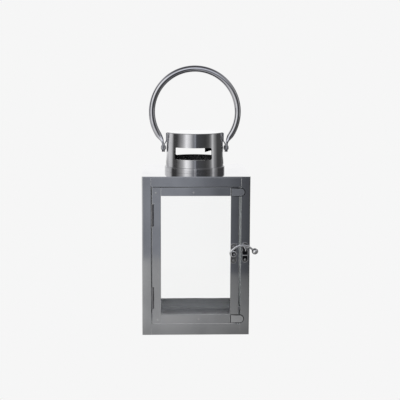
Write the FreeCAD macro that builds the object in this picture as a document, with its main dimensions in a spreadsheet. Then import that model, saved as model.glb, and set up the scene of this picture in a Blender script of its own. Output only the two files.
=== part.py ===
import FreeCAD, Part
import math
import os
import re

import Sketcher
from FreeCAD import Placement, Rotation, Vector

# Square steel candle lantern: four corner posts, top and bottom rails, a roof and a floor plate,
# three fixed panes, a glazed front door with two barrel hinges and a hook latch, a round
# chimney with two slots and a lid, and a ring-shaped bail on two riveted ears.
# Millimetres; origin at the centre of the base, front towards -Y, up towards +Z.

# Driving dimensions: alias, value, what it is.
SIZES = [
    ("CaseWidth", 110, "case, outside width"),
    ("CaseDepth", 110, "case, outside depth"),
    ("CaseHeight", 164.6, "case, base to roof"),
    ("Sheet", 0.8, "steel sheet of posts, rails and plates"),
    ("PostFlange", 9.1, "corner post, width of each flange"),
    ("PostBend", 1.2, "corner post, outside bend radius"),
    ("TopRailHeight", 10.5, "top rail, roof to lower edge"),
    ("BottomRailHeight", 11.3, "bottom rail, base to upper edge"),
    ("RailShelf", 9, "rail, depth of its horizontal flange"),
    ("SeamGap", 0.15, "open seam where a strip meets a post or a stile"),
    ("PlateGap", 0.1, "floor plate to the inside of the walls"),
    ("GlassThickness", 2, "fixed panes and door pane"),
    ("GlassSill", 6, "fixed panes, base to lower edge"),
    ("GlassHead", 6.5, "fixed panes, roof to upper edge"),
    ("GlassBacking", 0.15, "fixed panes, gap to the posts"),
    ("GlassMargin", 1, "fixed panes, edge to the walls"),
    ("GlassCorner", 0.25, "side panes, gap to the back pane"),
    ("ClipWidth", 4, "pane clip, width"),
    ("ClipThickness", 0.5, "pane clip, strip thickness"),
    ("ClipLip", 4, "pane clip, lip height"),
    ("ClipFoot", 4, "pane clip, height soldered to the rail"),
    ("ClipInset", 2.3, "pane clip, centre to the post flange"),
    ("DoorGapHinge", 1.1, "gap between post and door, hinge side"),
    ("DoorGapLatch", 2.2, "gap between post and door, latch side"),
    ("DoorGapTop", 1, "gap above the door"),
    ("DoorGapBottom", 1, "gap below the door"),
    ("StileLeft", 9, "door, width of the hinge stile"),
    ("StileRight", 8.5, "door, width of the latch stile"),
    ("DoorRailTop", 8.3, "door, height of the top rail"),
    ("DoorRailBottom", 9, "door, height of the bottom rail"),
    ("DoorFlange", 5, "door, depth of the flange turned inwards"),
    ("DoorGlassGap", 0.6, "door pane, gap to the back of the strips"),
    ("DoorGlassEdge", 0.4, "door pane, gap to the flanges"),
    ("DoorClipInset", 8, "door pane clip, centre to the stile"),
    ("StopTabLength", 14.2, "stop tab, length"),
    ("StopTabHeight", 8.9, "stop tab, height"),
    ("StopTabThickness", 0.8, "stop tab, thickness"),
    ("StopTabLap", 8.1, "stop tab, length lying on the stile"),
    ("HingeLength", 23, "barrel hinge, length"),
    ("HingeDrop", 39.6, "upper hinge, its middle below the roof"),
    ("HingeLower", 39, "lower hinge, height of its middle"),
    ("HingeInset", 1.4, "hinge axis, distance from the post flange"),
    ("HingeProud", 0.2, "hinge axis, distance in front of the case"),
    ("BarrelRadius", 1.1, "hinge barrel, outside radius"),
    ("PinRadius", 0.55, "hinge pin, radius"),
    ("PinClearance", 0.05, "radial clearance of every turning pin"),
    ("KnuckleGap", 0.2, "gap between hinge knuckles"),
    ("LeafThickness", 0.5, "hinge leaf, thickness"),
    ("LeafReach", 6, "hinge leaf, width behind the strip"),
    ("LeafStart", 0.3, "door leaf, gap to the frame knuckles"),
    ("NotchDepth", 2.4, "notch of the hinge stile at each barrel"),
    ("NotchEnd", 0.3, "notch, gap above and below the barrel"),
    ("LatchHeight", 85.5, "latch pivot, height"),
    ("LatchInset", 5.35, "latch pivot, distance from the door edge"),
    ("CatchInset", 4.9, "catch plate, middle to the side of the case"),
    ("CatchRise", 1, "catch plate, middle above the pivot"),
    ("PlateLobe", 3.4, "latch plates, radius of the end lobes"),
    ("PlateMiddle", 4.1, "latch plates, radius of the middle"),
    ("PlatePitch", 7.4, "latch plates, lobe centre to the middle"),
    ("PlateNeck", 5.6, "latch plates, width between the lobes"),
    ("PlateThickness", 0.8, "latch plates, thickness"),
    ("RivetRadius", 0.8, "small rivets, shank radius"),
    ("RivetHead", 1.4, "small rivets, head radius"),
    ("RivetHeadHeight", 0.6, "small rivets, head height"),
    ("RivetFit", 0.05, "small rivets, gap in their holes"),
    ("PivotRadius", 1.5, "latch pivot, shank radius"),
    ("PivotBoss", 2.6, "latch pivot, boss radius"),
    ("PivotBossHeight", 1.6, "latch pivot, boss height"),
    ("PivotHead", 2, "latch pivot, head radius"),
    ("PivotHeadHeight", 0.9, "latch pivot, head height"),
    ("HookPlay", 0.1, "hook, play between boss and head"),
    ("HookRing", 3.3, "hook, outside radius of its eye"),
    ("HookThickness", 2, "hook, thickness of its eye"),
    ("HookArmRadius", 13.5, "hook, radius of the arm's curve"),
    ("HookArmThickness", 2.6, "hook, diameter of the arm"),
    ("HookArmX", 9.05, "hook, arm centre beside the pivot"),
    ("HookArmDrop", 4.9, "hook, arm centre below the pivot"),
    ("HookArmStart", 31, "hook, angle of the arm's outer end"),
    ("HookArmSweep", 123, "hook, angle that the arm spans"),
    ("HookBall", 3.35, "hook, radius of the finger ball"),
    ("HookBallOut", 1.1, "hook, ball centre outside the arm's curve"),
    ("HookBallProud", 0.5, "hook, ball centre in front of the arm"),
    ("ToothX", 12.1, "hook tooth, tip beside the pivot"),
    ("ToothRise", 2.6, "hook tooth, tip above the pivot"),
    ("ToothHeight", 4, "hook tooth, height"),
    ("ToothWidth", 3.2, "hook tooth, width at its root"),
    ("ToothThickness", 1.4, "hook tooth, thickness"),
    ("StapleWire", 0.6, "staple, wire radius"),
    ("StapleSpan", 4.8, "staple, leg to leg"),
    ("StapleReach", 4.4, "staple, bar in front of the plate"),
    ("StapleDrop", 0.9, "staple, below the pivot"),
    ("ChimneyHeight", 41, "chimney, roof to the top of the lid"),
    ("ChimneyTop", 29.5, "chimney, outside radius at the top"),
    ("ChimneyBase", 30.6, "chimney, outside radius at the roof"),
    ("ChimneyWall", 0.7, "chimney, wall"),
    ("CollarRadius", 32, "chimney collar, outside radius"),
    ("CollarHeight", 5.1, "chimney collar, height"),
    ("FlueRadius", 28.5, "hole in the roof plate, radius"),
    ("LidRadius", 30, "chimney lid, radius"),
    ("LidThickness", 0.8, "chimney lid, thickness"),
    ("SlotWidth", 38.2, "front chimney slot, width"),
    ("SlotShift", 2.1, "front chimney slot, its middle left of the centre"),
    ("BackSlotWidth", 40.5, "back chimney slot, width"),
    ("SlotLow", 13.7, "chimney slots, lower edge above the roof"),
    ("SlotHeight", 12.4, "chimney slots, height"),
    ("SlotCorner", 1.5, "chimney slots, corner radius"),
    ("BailPivot", 24, "bail pivot, height above the roof"),
    ("EarWidth", 9.2, "bail ear, width"),
    ("EarThickness", 1.2, "bail ear, thickness"),
    ("EarStandoff", 2, "bail ear, inner face to the chimney"),
    ("EarBend", 7.4, "bail ear, where it leaves the chimney above the pivot"),
    ("EarJoggle", 3.5, "bail ear, end of its bend above the pivot"),
    ("EarTopGap", 0.2, "bail ear, gap under the lid"),
    ("EarTopThickness", 1, "bail ear, thickness at its upper end"),
    ("BailCentre", 61.7, "bail ring, centre above the roof"),
    ("BailRadius", 45.2, "bail ring, radius of its middle line"),
    ("BailTube", 3.3, "bail ring, tube radius"),
    ("BailWall", 0.9, "bail ring, tube wall"),
    ("BailSink", 0.03, "bail ring, pressed ends below the tube's surface"),
    ("BailEndAngle", 30, "bail ring, where the round tube ends below its centre"),
    ("BailTabThickness", 2, "bail, thickness of its flattened ends"),
    ("BailTabWidth", 9.2, "bail, width of its flattened ends"),
    ("BailTabRise", 5.6, "bail, where its ends are flat above the pivot"),
    ("BailTabGap", 0.1, "bail, gap between ear and flattened end"),
    ("BailRivet", 1.5, "bail rivet, shank radius"),
    ("BailRivetHead", 2.6, "bail rivet, head radius"),
    ("BailRivetHeadHeight", 1.1, "bail rivet, head height"),
    ("BailRivetHeadTop", 1.7, "bail rivet, radius of the head's flat"),
]

# Places that several pieces share, in terms of the driving dimensions.
HALF_X = "CaseWidth / 2"
HALF_Y = "CaseDepth / 2"
FRONT = "(-CaseDepth / 2)"
INNER_X = "(CaseWidth / 2 - Sheet)"
INNER_Y = "(CaseDepth / 2 - Sheet)"
POST_X = "(CaseWidth / 2 - PostFlange)"
POST_Y = "(CaseDepth / 2 - PostFlange)"
ROOF_UNDER = "(CaseHeight - Sheet)"
DOOR_LEFT = "(-CaseWidth / 2 + PostFlange + DoorGapHinge)"
DOOR_RIGHT = "(CaseWidth / 2 - PostFlange - DoorGapLatch)"
DOOR_LOW = "(BottomRailHeight + DoorGapBottom)"
DOOR_HIGH = "(CaseHeight - TopRailHeight - DoorGapTop)"
DOOR_BACK = "(-CaseDepth / 2 + Sheet)"
HINGE_X = "(-CaseWidth / 2 + PostFlange + HingeInset)"
HINGE_Y = "(-CaseDepth / 2 - HingeProud)"
HINGE_HIGH = "(CaseHeight - HingeDrop)"
LATCH_X = "(CaseWidth / 2 - PostFlange - DoorGapLatch - LatchInset)"
CATCH_X = "(CaseWidth / 2 - CatchInset)"
CATCH_Z = "(LatchHeight + CatchRise)"
HOOK_Y = "(-CaseDepth / 2 - PlateThickness - PivotBossHeight - HookPlay - HookThickness / 2)"
CHIMNEY_TOP = "(CaseHeight + ChimneyHeight - LidThickness)"
PIVOT_Z = "(CaseHeight + BailPivot)"
EAR_IN = "(ChimneyTop + EarStandoff)"
EAR_OUT = "(ChimneyTop + EarStandoff + EarThickness)"
TAB_IN = "(ChimneyTop + EarStandoff + EarThickness + BailTabGap)"
TAB_OUT = "(ChimneyTop + EarStandoff + EarThickness + BailTabGap + BailTabThickness)"

AXIS_TURN = {"x": Rotation(Vector(0, 1, 0), 90), "y": Rotation(Vector(1, 0, 0), -90), "z": Rotation()}
PLANES = {"XY": "XY_Plane", "XZ": "XZ_Plane", "YZ": "YZ_Plane"}
REACH = 5  # how far a cutting shape runs past what it cuts


class Workshop:
    """The document, its sheet of sizes and the helpers that make bound shapes."""

    def __init__(self):
        self.doc = FreeCAD.newDocument("CandleLantern")
        self.sheet = self.doc.addObject("Spreadsheet::Sheet", "Size")
        for row, (alias, value, note) in enumerate(SIZES, start=1):
            self.sheet.set(f"A{row}", note)
            self.sheet.set(f"B{row}", str(value))
            self.sheet.setAlias(f"B{row}", alias)
        self.names = {alias for alias, _, _ in SIZES}
        self.doc.recompute()
        self.nodes = []

    def bound(self, text):
        """Point each size named in the text at its cell."""
        return re.sub(r"\b[A-Z][A-Za-z]+\b",
                      lambda m: "Size." + m[0] if m[0] in self.names else m[0], str(text))

    def value(self, text):
        """Work out an expression of sizes as a number."""
        return float(self.sheet.evalExpression(self.bound(text)))

    def bind(self, item, **expressions):
        """Bind properties of an object, written with _ for each dot."""
        for name, text in expressions.items():
            item.setExpression(name.replace("_", "."), self.bound(text))
        return item

    def box(self, name, x, y, z):
        """Make a block between two bounds on each axis."""
        item = self.doc.addObject("Part::Box", name)
        self.bind(item, Length=f"({x[1]}) - ({x[0]})", Width=f"({y[1]}) - ({y[0]})",
                  Height=f"({z[1]}) - ({z[0]})")
        return self.bind(item, Placement_Base_x=x[0], Placement_Base_y=y[0], Placement_Base_z=z[0])

    def place(self, item, axis, x, y, z):
        """Turn a round primitive onto an axis and bind the place of its first end."""
        item.Placement = Placement(Vector(), AXIS_TURN[axis])
        return self.bind(item, Placement_Base_x=x, Placement_Base_y=y, Placement_Base_z=z)

    def rod(self, name, axis, x, y, z, radius, length):
        """Make a cylinder that runs along an axis from a point."""
        item = self.doc.addObject("Part::Cylinder", name)
        self.bind(item, Radius=radius, Height=length)
        return self.place(item, axis, x, y, z)

    def cone(self, name, axis, x, y, z, first, second, length):
        """Make a cone frustum that runs along an axis from a point."""
        item = self.doc.addObject("Part::Cone", name)
        self.bind(item, Radius1=first, Radius2=second, Height=length)
        return self.place(item, axis, x, y, z)

    def ball(self, name, x, y, z, radius):
        """Make a sphere."""
        item = self.doc.addObject("Part::Sphere", name)
        self.bind(item, Radius=radius)
        return self.place(item, "z", x, y, z)

    def fuse(self, name, shapes):
        """Join shapes into one."""
        item = self.doc.addObject("Part::MultiFuse", name)
        item.Shapes = shapes
        return item

    def group(self, name, shapes):
        """Keep identical small pieces together as separate solids."""
        item = self.doc.addObject("Part::Compound", name)
        item.Links = shapes
        return item

    def cut(self, name, base, *tools):
        """Take the tools away from the base."""
        item = self.doc.addObject("Part::Cut", name)
        item.Base = base
        item.Tool = tools[0] if len(tools) == 1 else self.fuse(name + "_tools", list(tools))
        return item

    def common(self, name, first, second):
        """Keep what two shapes share."""
        item = self.doc.addObject("Part::Common", name)
        item.Base, item.Tool = first, second
        return item

    def prism(self, name, plane, corners, low, high):
        """Pad a polygon of bound corners between two bounds along the plane's normal."""
        body = self.doc.addObject("PartDesign::Body", name)
        sketch = body.newObject("Sketcher::SketchObject", name + "_sketch")
        origin = [item for item in body.Origin.OriginFeatures if item.Role == PLANES[plane]][0]
        sketch.AttachmentSupport = [(origin, "")]
        sketch.MapMode = "FlatFace"
        start = f"-({high})" if plane == "XZ" else low
        self.bind(sketch, AttachmentOffset_Base_z=start)
        spots = [Vector(self.value(first), self.value(second), 0) for first, second in corners]
        count = len(spots)
        for index in range(count):
            sketch.addGeometry(Part.LineSegment(spots[index], spots[(index + 1) % count]), False)
        for index in range(count):
            sketch.addConstraint(Sketcher.Constraint("Coincident", index, 2, (index + 1) % count, 1))
        for index, (first, second) in enumerate(corners):
            for kind, text, place in (("DistanceX", first, spots[index].x), ("DistanceY", second, spots[index].y)):
                row = sketch.addConstraint(Sketcher.Constraint(kind, -1, 1, index, 1, place))
                sketch.setExpression(f"Constraints[{row}]", self.bound(text))
        pad = body.newObject("PartDesign::Pad", name + "_pad")
        pad.Profile = sketch
        self.bind(pad, Length=f"({high}) - ({low})")
        body.Tip = pad
        return body

    def round_edges(self, body, name, radius, wanted):
        """Round the edges of a body whose middle the test accepts."""
        self.doc.recompute()
        tip = body.Tip
        edges = [f"Edge{row}" for row, edge in enumerate(tip.Shape.Edges, start=1)
                 if wanted(edge.valueAt((edge.FirstParameter + edge.LastParameter) / 2))]
        fillet = body.newObject("PartDesign::Fillet", name)
        fillet.Base = (tip, edges)
        self.bind(fillet, Radius=radius)
        body.Tip = fillet
        return body

    def keep(self, node, item):
        """Enter an object as a sub-part under its node's name."""
        item.Label = node
        self.nodes.append(item)
        return item


def signed(sign, text):
    """Put a sign in front of a place, for pieces on opposite sides."""
    return f"{sign} * ({text})"


def span(sign, near, far):
    """Give the lower and upper bound of a stretch on one side of the middle."""
    return (near, far) if sign > 0 else (f"-({far})", f"-({near})")


def make_posts(shop):
    """Four L-section corner posts, each with its outer corner bent to a radius."""
    for side, sx in (("left", -1), ("right", 1)):
        for end, sy in (("front", -1), ("back", 1)):
            corners = [(HALF_X, HALF_Y), (POST_X, HALF_Y), (POST_X, INNER_Y),
                       (INNER_X, INNER_Y), (INNER_X, POST_Y), (HALF_X, POST_Y)]
            corners = [(signed(sx, x), signed(sy, y)) for x, y in corners]
            name = f"corner_post_{end}_{side}"
            post = shop.prism(name + "_body", "XY", corners, "0", ROOF_UNDER)
            spot = Vector(sx * shop.value(HALF_X), sy * shop.value(HALF_Y), 0)
            shop.round_edges(post, name + "_bend", "PostBend",
                             lambda p, spot=spot: math.hypot(p.x - spot.x, p.y - spot.y) < 0.01)
            if (side, end) == ("right", "front"):
                post = drill_rivets(shop, name, post, CATCH_X, CATCH_Z)
            shop.keep(name, post)


def drill_rivets(shop, name, base, x, middle, *more):
    """Drill the two rivet holes of a latch plate through a strip."""
    holes = [shop.rod(f"{name}_hole_{tag}", "y", x, f"{FRONT} - {REACH}", f"{middle} {sign} PlatePitch",
                      "RivetRadius + RivetFit", f"{2 * REACH}") for tag, sign in (("low", "-"), ("high", "+"))]
    return shop.cut(name, base, *holes, *more)


def make_rails(shop):
    """Eight L-section rails between the posts, four under the roof and four at the base."""
    top = [("out", "CaseHeight - TopRailHeight"), ("out", ROOF_UNDER), ("shelf", ROOF_UNDER),
           ("shelf", f"{ROOF_UNDER} - Sheet"), ("in", f"{ROOF_UNDER} - Sheet"), ("in", "CaseHeight - TopRailHeight")]
    bottom = [("out", "0"), ("out", "BottomRailHeight"), ("in", "BottomRailHeight"), ("in", "2 * Sheet"),
              ("shelf", "2 * Sheet"), ("shelf", "Sheet"), ("in", "Sheet"), ("in", "0")]
    for level, profile in (("top", top), ("bottom", bottom)):
        for side, sign, half, inner, reach, plane in (
                ("front", -1, HALF_Y, INNER_Y, POST_X, "YZ"), ("back", 1, HALF_Y, INNER_Y, POST_X, "YZ"),
                ("left", -1, HALF_X, INNER_X, POST_Y, "XZ"), ("right", 1, HALF_X, INNER_X, POST_Y, "XZ")):
            places = {"out": half, "in": inner, "shelf": f"{half} - RailShelf"}
            corners = [(signed(sign, places[where]), height) for where, height in profile]
            name = f"{level}_rail_{side}"
            rail = shop.prism(name, plane, corners, f"-({reach} - SeamGap)", f"{reach} - SeamGap")
            shop.keep(name, rail)


def make_plates(shop):
    """Roof plate with the flue hole, and floor plate between the bottom rails."""
    corners = [(signed(sx, HALF_X), signed(sy, HALF_Y)) for sx, sy in ((-1, -1), (1, -1), (1, 1), (-1, 1))]
    roof = shop.prism("roof_plate_body", "XY", corners, ROOF_UNDER, "CaseHeight")
    middle = shop.value(f"{ROOF_UNDER} + Sheet / 2")
    shop.round_edges(roof, "roof_plate_corners", "PostBend", lambda p: abs(p.z - middle) < 0.01)
    flue = shop.rod("roof_plate_flue", "z", "0", "0", f"CaseHeight - {REACH}", "FlueRadius", f"{2 * REACH}")
    shop.keep("roof_plate", shop.cut("roof_plate", roof, flue))
    reach_x, reach_y = f"{INNER_X} - PlateGap", f"{INNER_Y} - PlateGap"
    floor = shop.box("floor_plate", (f"-({reach_x})", reach_x), (f"-({reach_y})", reach_y), ("0", "Sheet"))
    shop.keep("floor_plate", floor)


def make_panes(shop):
    """Fixed panes on the left, right and back, each held by four clips on the rails."""
    heights = ("GlassSill", "CaseHeight - GlassHead")
    near, far = "GlassBacking", "GlassBacking + GlassThickness"
    side_y = (f"-({INNER_Y} - GlassMargin)", f"{INNER_Y} - ({far}) - GlassCorner")
    for side, sign in (("left", -1), ("right", 1)):
        bounds = span(sign, f"{INNER_X} - ({far})", f"{INNER_X} - ({near})")
        shop.keep(f"glass_{side}", shop.box(f"glass_{side}", bounds, side_y, heights))
    back_x = (f"-({INNER_X} - GlassMargin)", f"{INNER_X} - GlassMargin")
    back_y = (f"{INNER_Y} - ({far})", f"{INNER_Y} - ({near})")
    shop.keep("glass_back", shop.box("glass_back", back_x, back_y, heights))
    for side, sign, inner, post, plane in (("left", -1, INNER_X, POST_Y, "XZ"), ("right", 1, INNER_X, POST_Y, "XZ"),
                                           ("back", 1, INNER_Y, POST_X, "YZ")):
        shop.keep(f"glass_clips_{side}", make_clips(shop, side, sign, inner, post, plane))


def make_clips(shop, side, sign, inner, post, plane):
    """Four strips bent to a J: a foot on the rail, a ledge at the pane's edge and a lip before it."""
    lip = f"{inner} - GlassBacking - GlassThickness - GlassBacking"
    clips = []
    for level, edge, way in (("low", "GlassSill", 1), ("high", "CaseHeight - GlassHead", -1)):
        profile = [(inner, f"{edge} - {way} * ClipFoot"), (f"{inner} - ClipThickness", f"{edge} - {way} * ClipFoot"),
                   (f"{inner} - ClipThickness", f"{edge} - {way} * ClipThickness"),
                   (f"{lip} - ClipThickness", f"{edge} - {way} * ClipThickness"),
                   (f"{lip} - ClipThickness", f"{edge} + {way} * ClipLip"), (lip, f"{edge} + {way} * ClipLip"),
                   (lip, edge), (inner, edge)]
        corners = [(signed(sign, place), height) for place, height in profile]
        for tag, along in (("a", -1), ("b", 1)):
            middle = signed(along, f"{post} - ClipInset")
            name = f"glass_clip_{side}_{level}_{tag}"
            clips.append(shop.prism(name, plane, corners, f"{middle} - ClipWidth / 2", f"{middle} + ClipWidth / 2"))
    return shop.group(f"glass_clips_{side}", clips)


def make_door(shop):
    """Door frame of four L-section strips, its stop tabs, pane and pane clips."""
    flange = f"{FRONT} + DoorFlange"
    for side, sign, edge, width in (("left", 1, DOOR_LEFT, "StileLeft"), ("right", -1, DOOR_RIGHT, "StileRight")):
        def inwards(distance):
            return f"{edge} + {sign} * ({distance})"
        corners = [(edge, FRONT), (inwards(width), FRONT), (inwards(width), DOOR_BACK), (inwards("Sheet"), DOOR_BACK),
                   (inwards("Sheet"), flange), (edge, flange)]
        name = f"door_stile_{side}"
        stile = shop.prism(name + "_body", "XY", corners, DOOR_LOW, DOOR_HIGH)
        if side == "left":
            notches = [shop.box(f"{name}_notch_{tag}", (f"{DOOR_LEFT} - {REACH}", f"{DOOR_LEFT} + NotchDepth"),
                                (f"{FRONT} - {REACH}", f"{flange} + {REACH}"),
                                (f"{middle} - HingeLength / 2 - NotchEnd", f"{middle} + HingeLength / 2 + NotchEnd"))
                       for tag, middle in (("upper", HINGE_HIGH), ("lower", "HingeLower"))]
            stile = shop.cut(name, stile, *notches)
        else:
            pivot = shop.rod(f"{name}_hole_pivot", "y", LATCH_X, f"{FRONT} - {REACH}", "LatchHeight",
                             "PivotRadius + RivetFit", f"{2 * REACH}")
            stile = drill_rivets(shop, name, stile, LATCH_X, "LatchHeight", pivot)
        shop.keep(name, stile)
    along = (f"{DOOR_LEFT} + StileLeft + SeamGap", f"{DOOR_RIGHT} - StileRight - SeamGap")
    for level, sign, edge, height in (("top", -1, DOOR_HIGH, "DoorRailTop"), ("bottom", 1, DOOR_LOW, "DoorRailBottom")):
        corners = [(FRONT, edge), (FRONT, f"{edge} + {sign} * {height}"), (DOOR_BACK, f"{edge} + {sign} * {height}"),
                   (DOOR_BACK, f"{edge} + {sign} * Sheet"), (flange, f"{edge} + {sign} * Sheet"), (flange, edge)]
        shop.keep(f"door_rail_{level}", shop.prism(f"door_rail_{level}", "YZ", corners, *along))
        make_stop_tab(shop, level, sign, edge)
    make_door_pane(shop)


def make_stop_tab(shop, level, sign, edge):
    """Strip with a rounded end that laps over the post and stops the door."""
    start = f"{DOOR_RIGHT} - StopTabLap"
    centre = f"{start} + StopTabLength - StopTabHeight / 2"
    low, high = (edge, f"{edge} + StopTabHeight") if sign > 0 else (f"{edge} - StopTabHeight", edge)
    depth = (f"{FRONT} - StopTabThickness", FRONT)
    strip = shop.box(f"door_stop_{level}_strip", (start, centre), depth, (low, high))
    end = shop.rod(f"door_stop_{level}_end", "y", centre, depth[0], f"{low} + StopTabHeight / 2",
                   "StopTabHeight / 2", "StopTabThickness")
    shop.keep(f"door_stop_tab_{level}", shop.fuse(f"door_stop_tab_{level}", [strip, end]))


def make_door_pane(shop):
    """Door pane standing on the lower flange, and four tabs that hold it."""
    front = f"{DOOR_BACK} + DoorGlassGap"
    back = f"{front} + GlassThickness"
    edge = "(Sheet + DoorGlassEdge)"
    pane = shop.box("door_glass", (f"{DOOR_LEFT} + {edge}", f"{DOOR_RIGHT} - {edge}"), (front, back),
                    (f"{DOOR_LOW} + Sheet", f"{DOOR_HIGH} - {edge}"))
    shop.keep("door_glass", pane)
    lip, foot = f"{back} + GlassBacking", f"{FRONT} + DoorFlange"
    tabs = []
    for level, sign, seat in (("low", 1, f"{DOOR_LOW} + Sheet"), ("high", -1, f"{DOOR_HIGH} - Sheet")):
        corners = [(lip, seat), (foot, seat), (foot, f"{seat} + {sign} * ClipThickness"),
                   (f"{lip} + ClipThickness", f"{seat} + {sign} * ClipThickness"),
                   (f"{lip} + ClipThickness", f"{seat} + {sign} * (ClipLip + ClipThickness)"),
                   (lip, f"{seat} + {sign} * (ClipLip + ClipThickness)")]
        for tag, middle in (("a", f"{DOOR_LEFT} + StileLeft + DoorClipInset"),
                            ("b", f"{DOOR_RIGHT} - StileRight - DoorClipInset")):
            tabs.append(shop.prism(f"door_clip_{level}_{tag}", "YZ", corners,
                                   f"{middle} - ClipWidth / 2", f"{middle} + ClipWidth / 2"))
    shop.keep("door_glass_clips", shop.group("door_glass_clips", tabs))


def make_hinge(shop, tag, middle):
    """Barrel hinge: a frame leaf with two knuckles, a door leaf with one, and the pin."""
    low, high = f"{middle} - HingeLength / 2", f"{middle} + HingeLength / 2"
    third = "HingeLength / 3"
    behind = (DOOR_BACK, f"{DOOR_BACK} + LeafThickness")
    web_y = (HINGE_Y, behind[1])
    web_x = (f"{HINGE_X} - BarrelRadius", f"{HINGE_X} - BarrelRadius + LeafThickness")
    pieces = [shop.box(f"hinge_{tag}_frame_leaf", (f"{HINGE_X} - BarrelRadius - LeafReach", web_x[1]), behind,
                       (low, high))]
    for end, start in (("low", low), ("high", f"{high} - {third} + KnuckleGap / 2")):
        length = f"{third} - KnuckleGap / 2"
        pieces.append(shop.rod(f"hinge_{tag}_knuckle_{end}", "z", HINGE_X, HINGE_Y, start, "BarrelRadius", length))
        pieces.append(shop.box(f"hinge_{tag}_web_{end}", web_x, web_y, (start, f"{start} + {length}")))
    bore = "PinRadius + PinClearance"
    reach = (f"{low} - {REACH}", f"HingeLength + {2 * REACH}")
    hole = shop.rod(f"hinge_{tag}_frame_bore", "z", HINGE_X, HINGE_Y, reach[0], bore, reach[1])
    shop.keep(f"hinge_leaf_frame_{tag}", shop.cut(f"hinge_leaf_frame_{tag}", shop.fuse(f"hinge_{tag}_frame", pieces),
                                                  hole))
    inner = (f"{low} + {third} + KnuckleGap / 2", f"{high} - {third} - KnuckleGap / 2")
    start_x = f"{HINGE_X} + BarrelRadius + LeafStart"
    pieces = [shop.rod(f"hinge_{tag}_knuckle_door", "z", HINGE_X, HINGE_Y, inner[0], "BarrelRadius",
                       f"{inner[1]} - ({inner[0]})"),
              shop.box(f"hinge_{tag}_web_door", (f"{HINGE_X} + BarrelRadius - LeafThickness", f"{HINGE_X} + BarrelRadius"),
                       web_y, inner),
              shop.box(f"hinge_{tag}_link_door", (f"{HINGE_X} + BarrelRadius - LeafThickness", start_x), behind, inner),
              shop.box(f"hinge_{tag}_door_leaf", (start_x, f"{start_x} + LeafReach"), behind, (low, high))]
    hole = shop.rod(f"hinge_{tag}_door_bore", "z", HINGE_X, HINGE_Y, reach[0], bore, reach[1])
    shop.keep(f"hinge_leaf_door_{tag}", shop.cut(f"hinge_leaf_door_{tag}", shop.fuse(f"hinge_{tag}_door", pieces), hole))
    shop.keep(f"hinge_pin_{tag}", shop.rod(f"hinge_pin_{tag}", "z", HINGE_X, HINGE_Y, low, "PinRadius", "HingeLength"))


def make_lobed_plate(shop, node, x, middle, *holes):
    """Cast plate of three overlapping discs, drilled for its two rivets."""
    front = f"{FRONT} - PlateThickness"
    discs = [shop.rod(f"{node}_disc_{tag}", "y", x, front, height, radius, "PlateThickness")
             for tag, height, radius in (("middle", middle, "PlateMiddle"),
                                         ("low", f"{middle} - PlatePitch", "PlateLobe"),
                                         ("high", f"{middle} + PlatePitch", "PlateLobe"))]
    discs.append(shop.box(f"{node}_neck", (f"{x} - PlateNeck / 2", f"{x} + PlateNeck / 2"), (front, FRONT),
                          (f"{middle} - PlatePitch", f"{middle} + PlatePitch")))
    return shop.keep(node, drill_rivets(shop, node, shop.fuse(node + "_blank", discs), x, middle, *holes))


def make_rivets(shop, node, x, middle):
    """Two small rivets: shank through plate and strip, domed head in front."""
    rivets = []
    front = f"{FRONT} - PlateThickness"
    for tag, sign in (("low", "-"), ("high", "+")):
        height = f"{middle} {sign} PlatePitch"
        shank = shop.rod(f"{node}_{tag}_shank", "y", x, front, height, "RivetRadius", "PlateThickness + Sheet")
        head = shop.cone(f"{node}_{tag}_head", "y", x, f"{front} - RivetHeadHeight", height,
                         "RivetRadius", "RivetHead", "RivetHeadHeight")
        rivets.append(shop.fuse(f"{node}_{tag}", [shank, head]))
    shop.keep(node, shop.group(node, rivets))


def make_latch(shop):
    """Hook latch: backplate, pivot and hook on the door, catch plate and staple on the post."""
    hole = shop.rod("latch_plate_pivot_hole", "y", LATCH_X, f"{FRONT} - {REACH}", "LatchHeight",
                    "PivotRadius + RivetFit", f"{2 * REACH}")
    make_lobed_plate(shop, "latch_backplate", LATCH_X, "LatchHeight", hole)
    make_rivets(shop, "latch_plate_rivets", LATCH_X, "LatchHeight")
    front = f"{FRONT} - PlateThickness"
    head = f"{HOOK_Y} - HookThickness / 2 - HookPlay"
    shank = shop.rod("latch_pivot_shank", "y", LATCH_X, head, "LatchHeight", "PivotRadius", f"{DOOR_BACK} - ({head})")
    boss = shop.rod("latch_pivot_boss", "y", LATCH_X, f"{front} - PivotBossHeight", "LatchHeight", "PivotBoss",
                    "PivotBossHeight")
    cap = shop.cone("latch_pivot_head", "y", LATCH_X, f"{head} - PivotHeadHeight", "LatchHeight",
                    "PivotRadius", "PivotHead", "PivotHeadHeight")
    shop.keep("latch_pivot", shop.fuse("latch_pivot", [shank, boss, cap]))
    make_hook(shop)
    make_lobed_plate(shop, "catch_plate", CATCH_X, CATCH_Z)
    make_rivets(shop, "catch_plate_rivets", CATCH_X, CATCH_Z)
    make_staple(shop)


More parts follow.
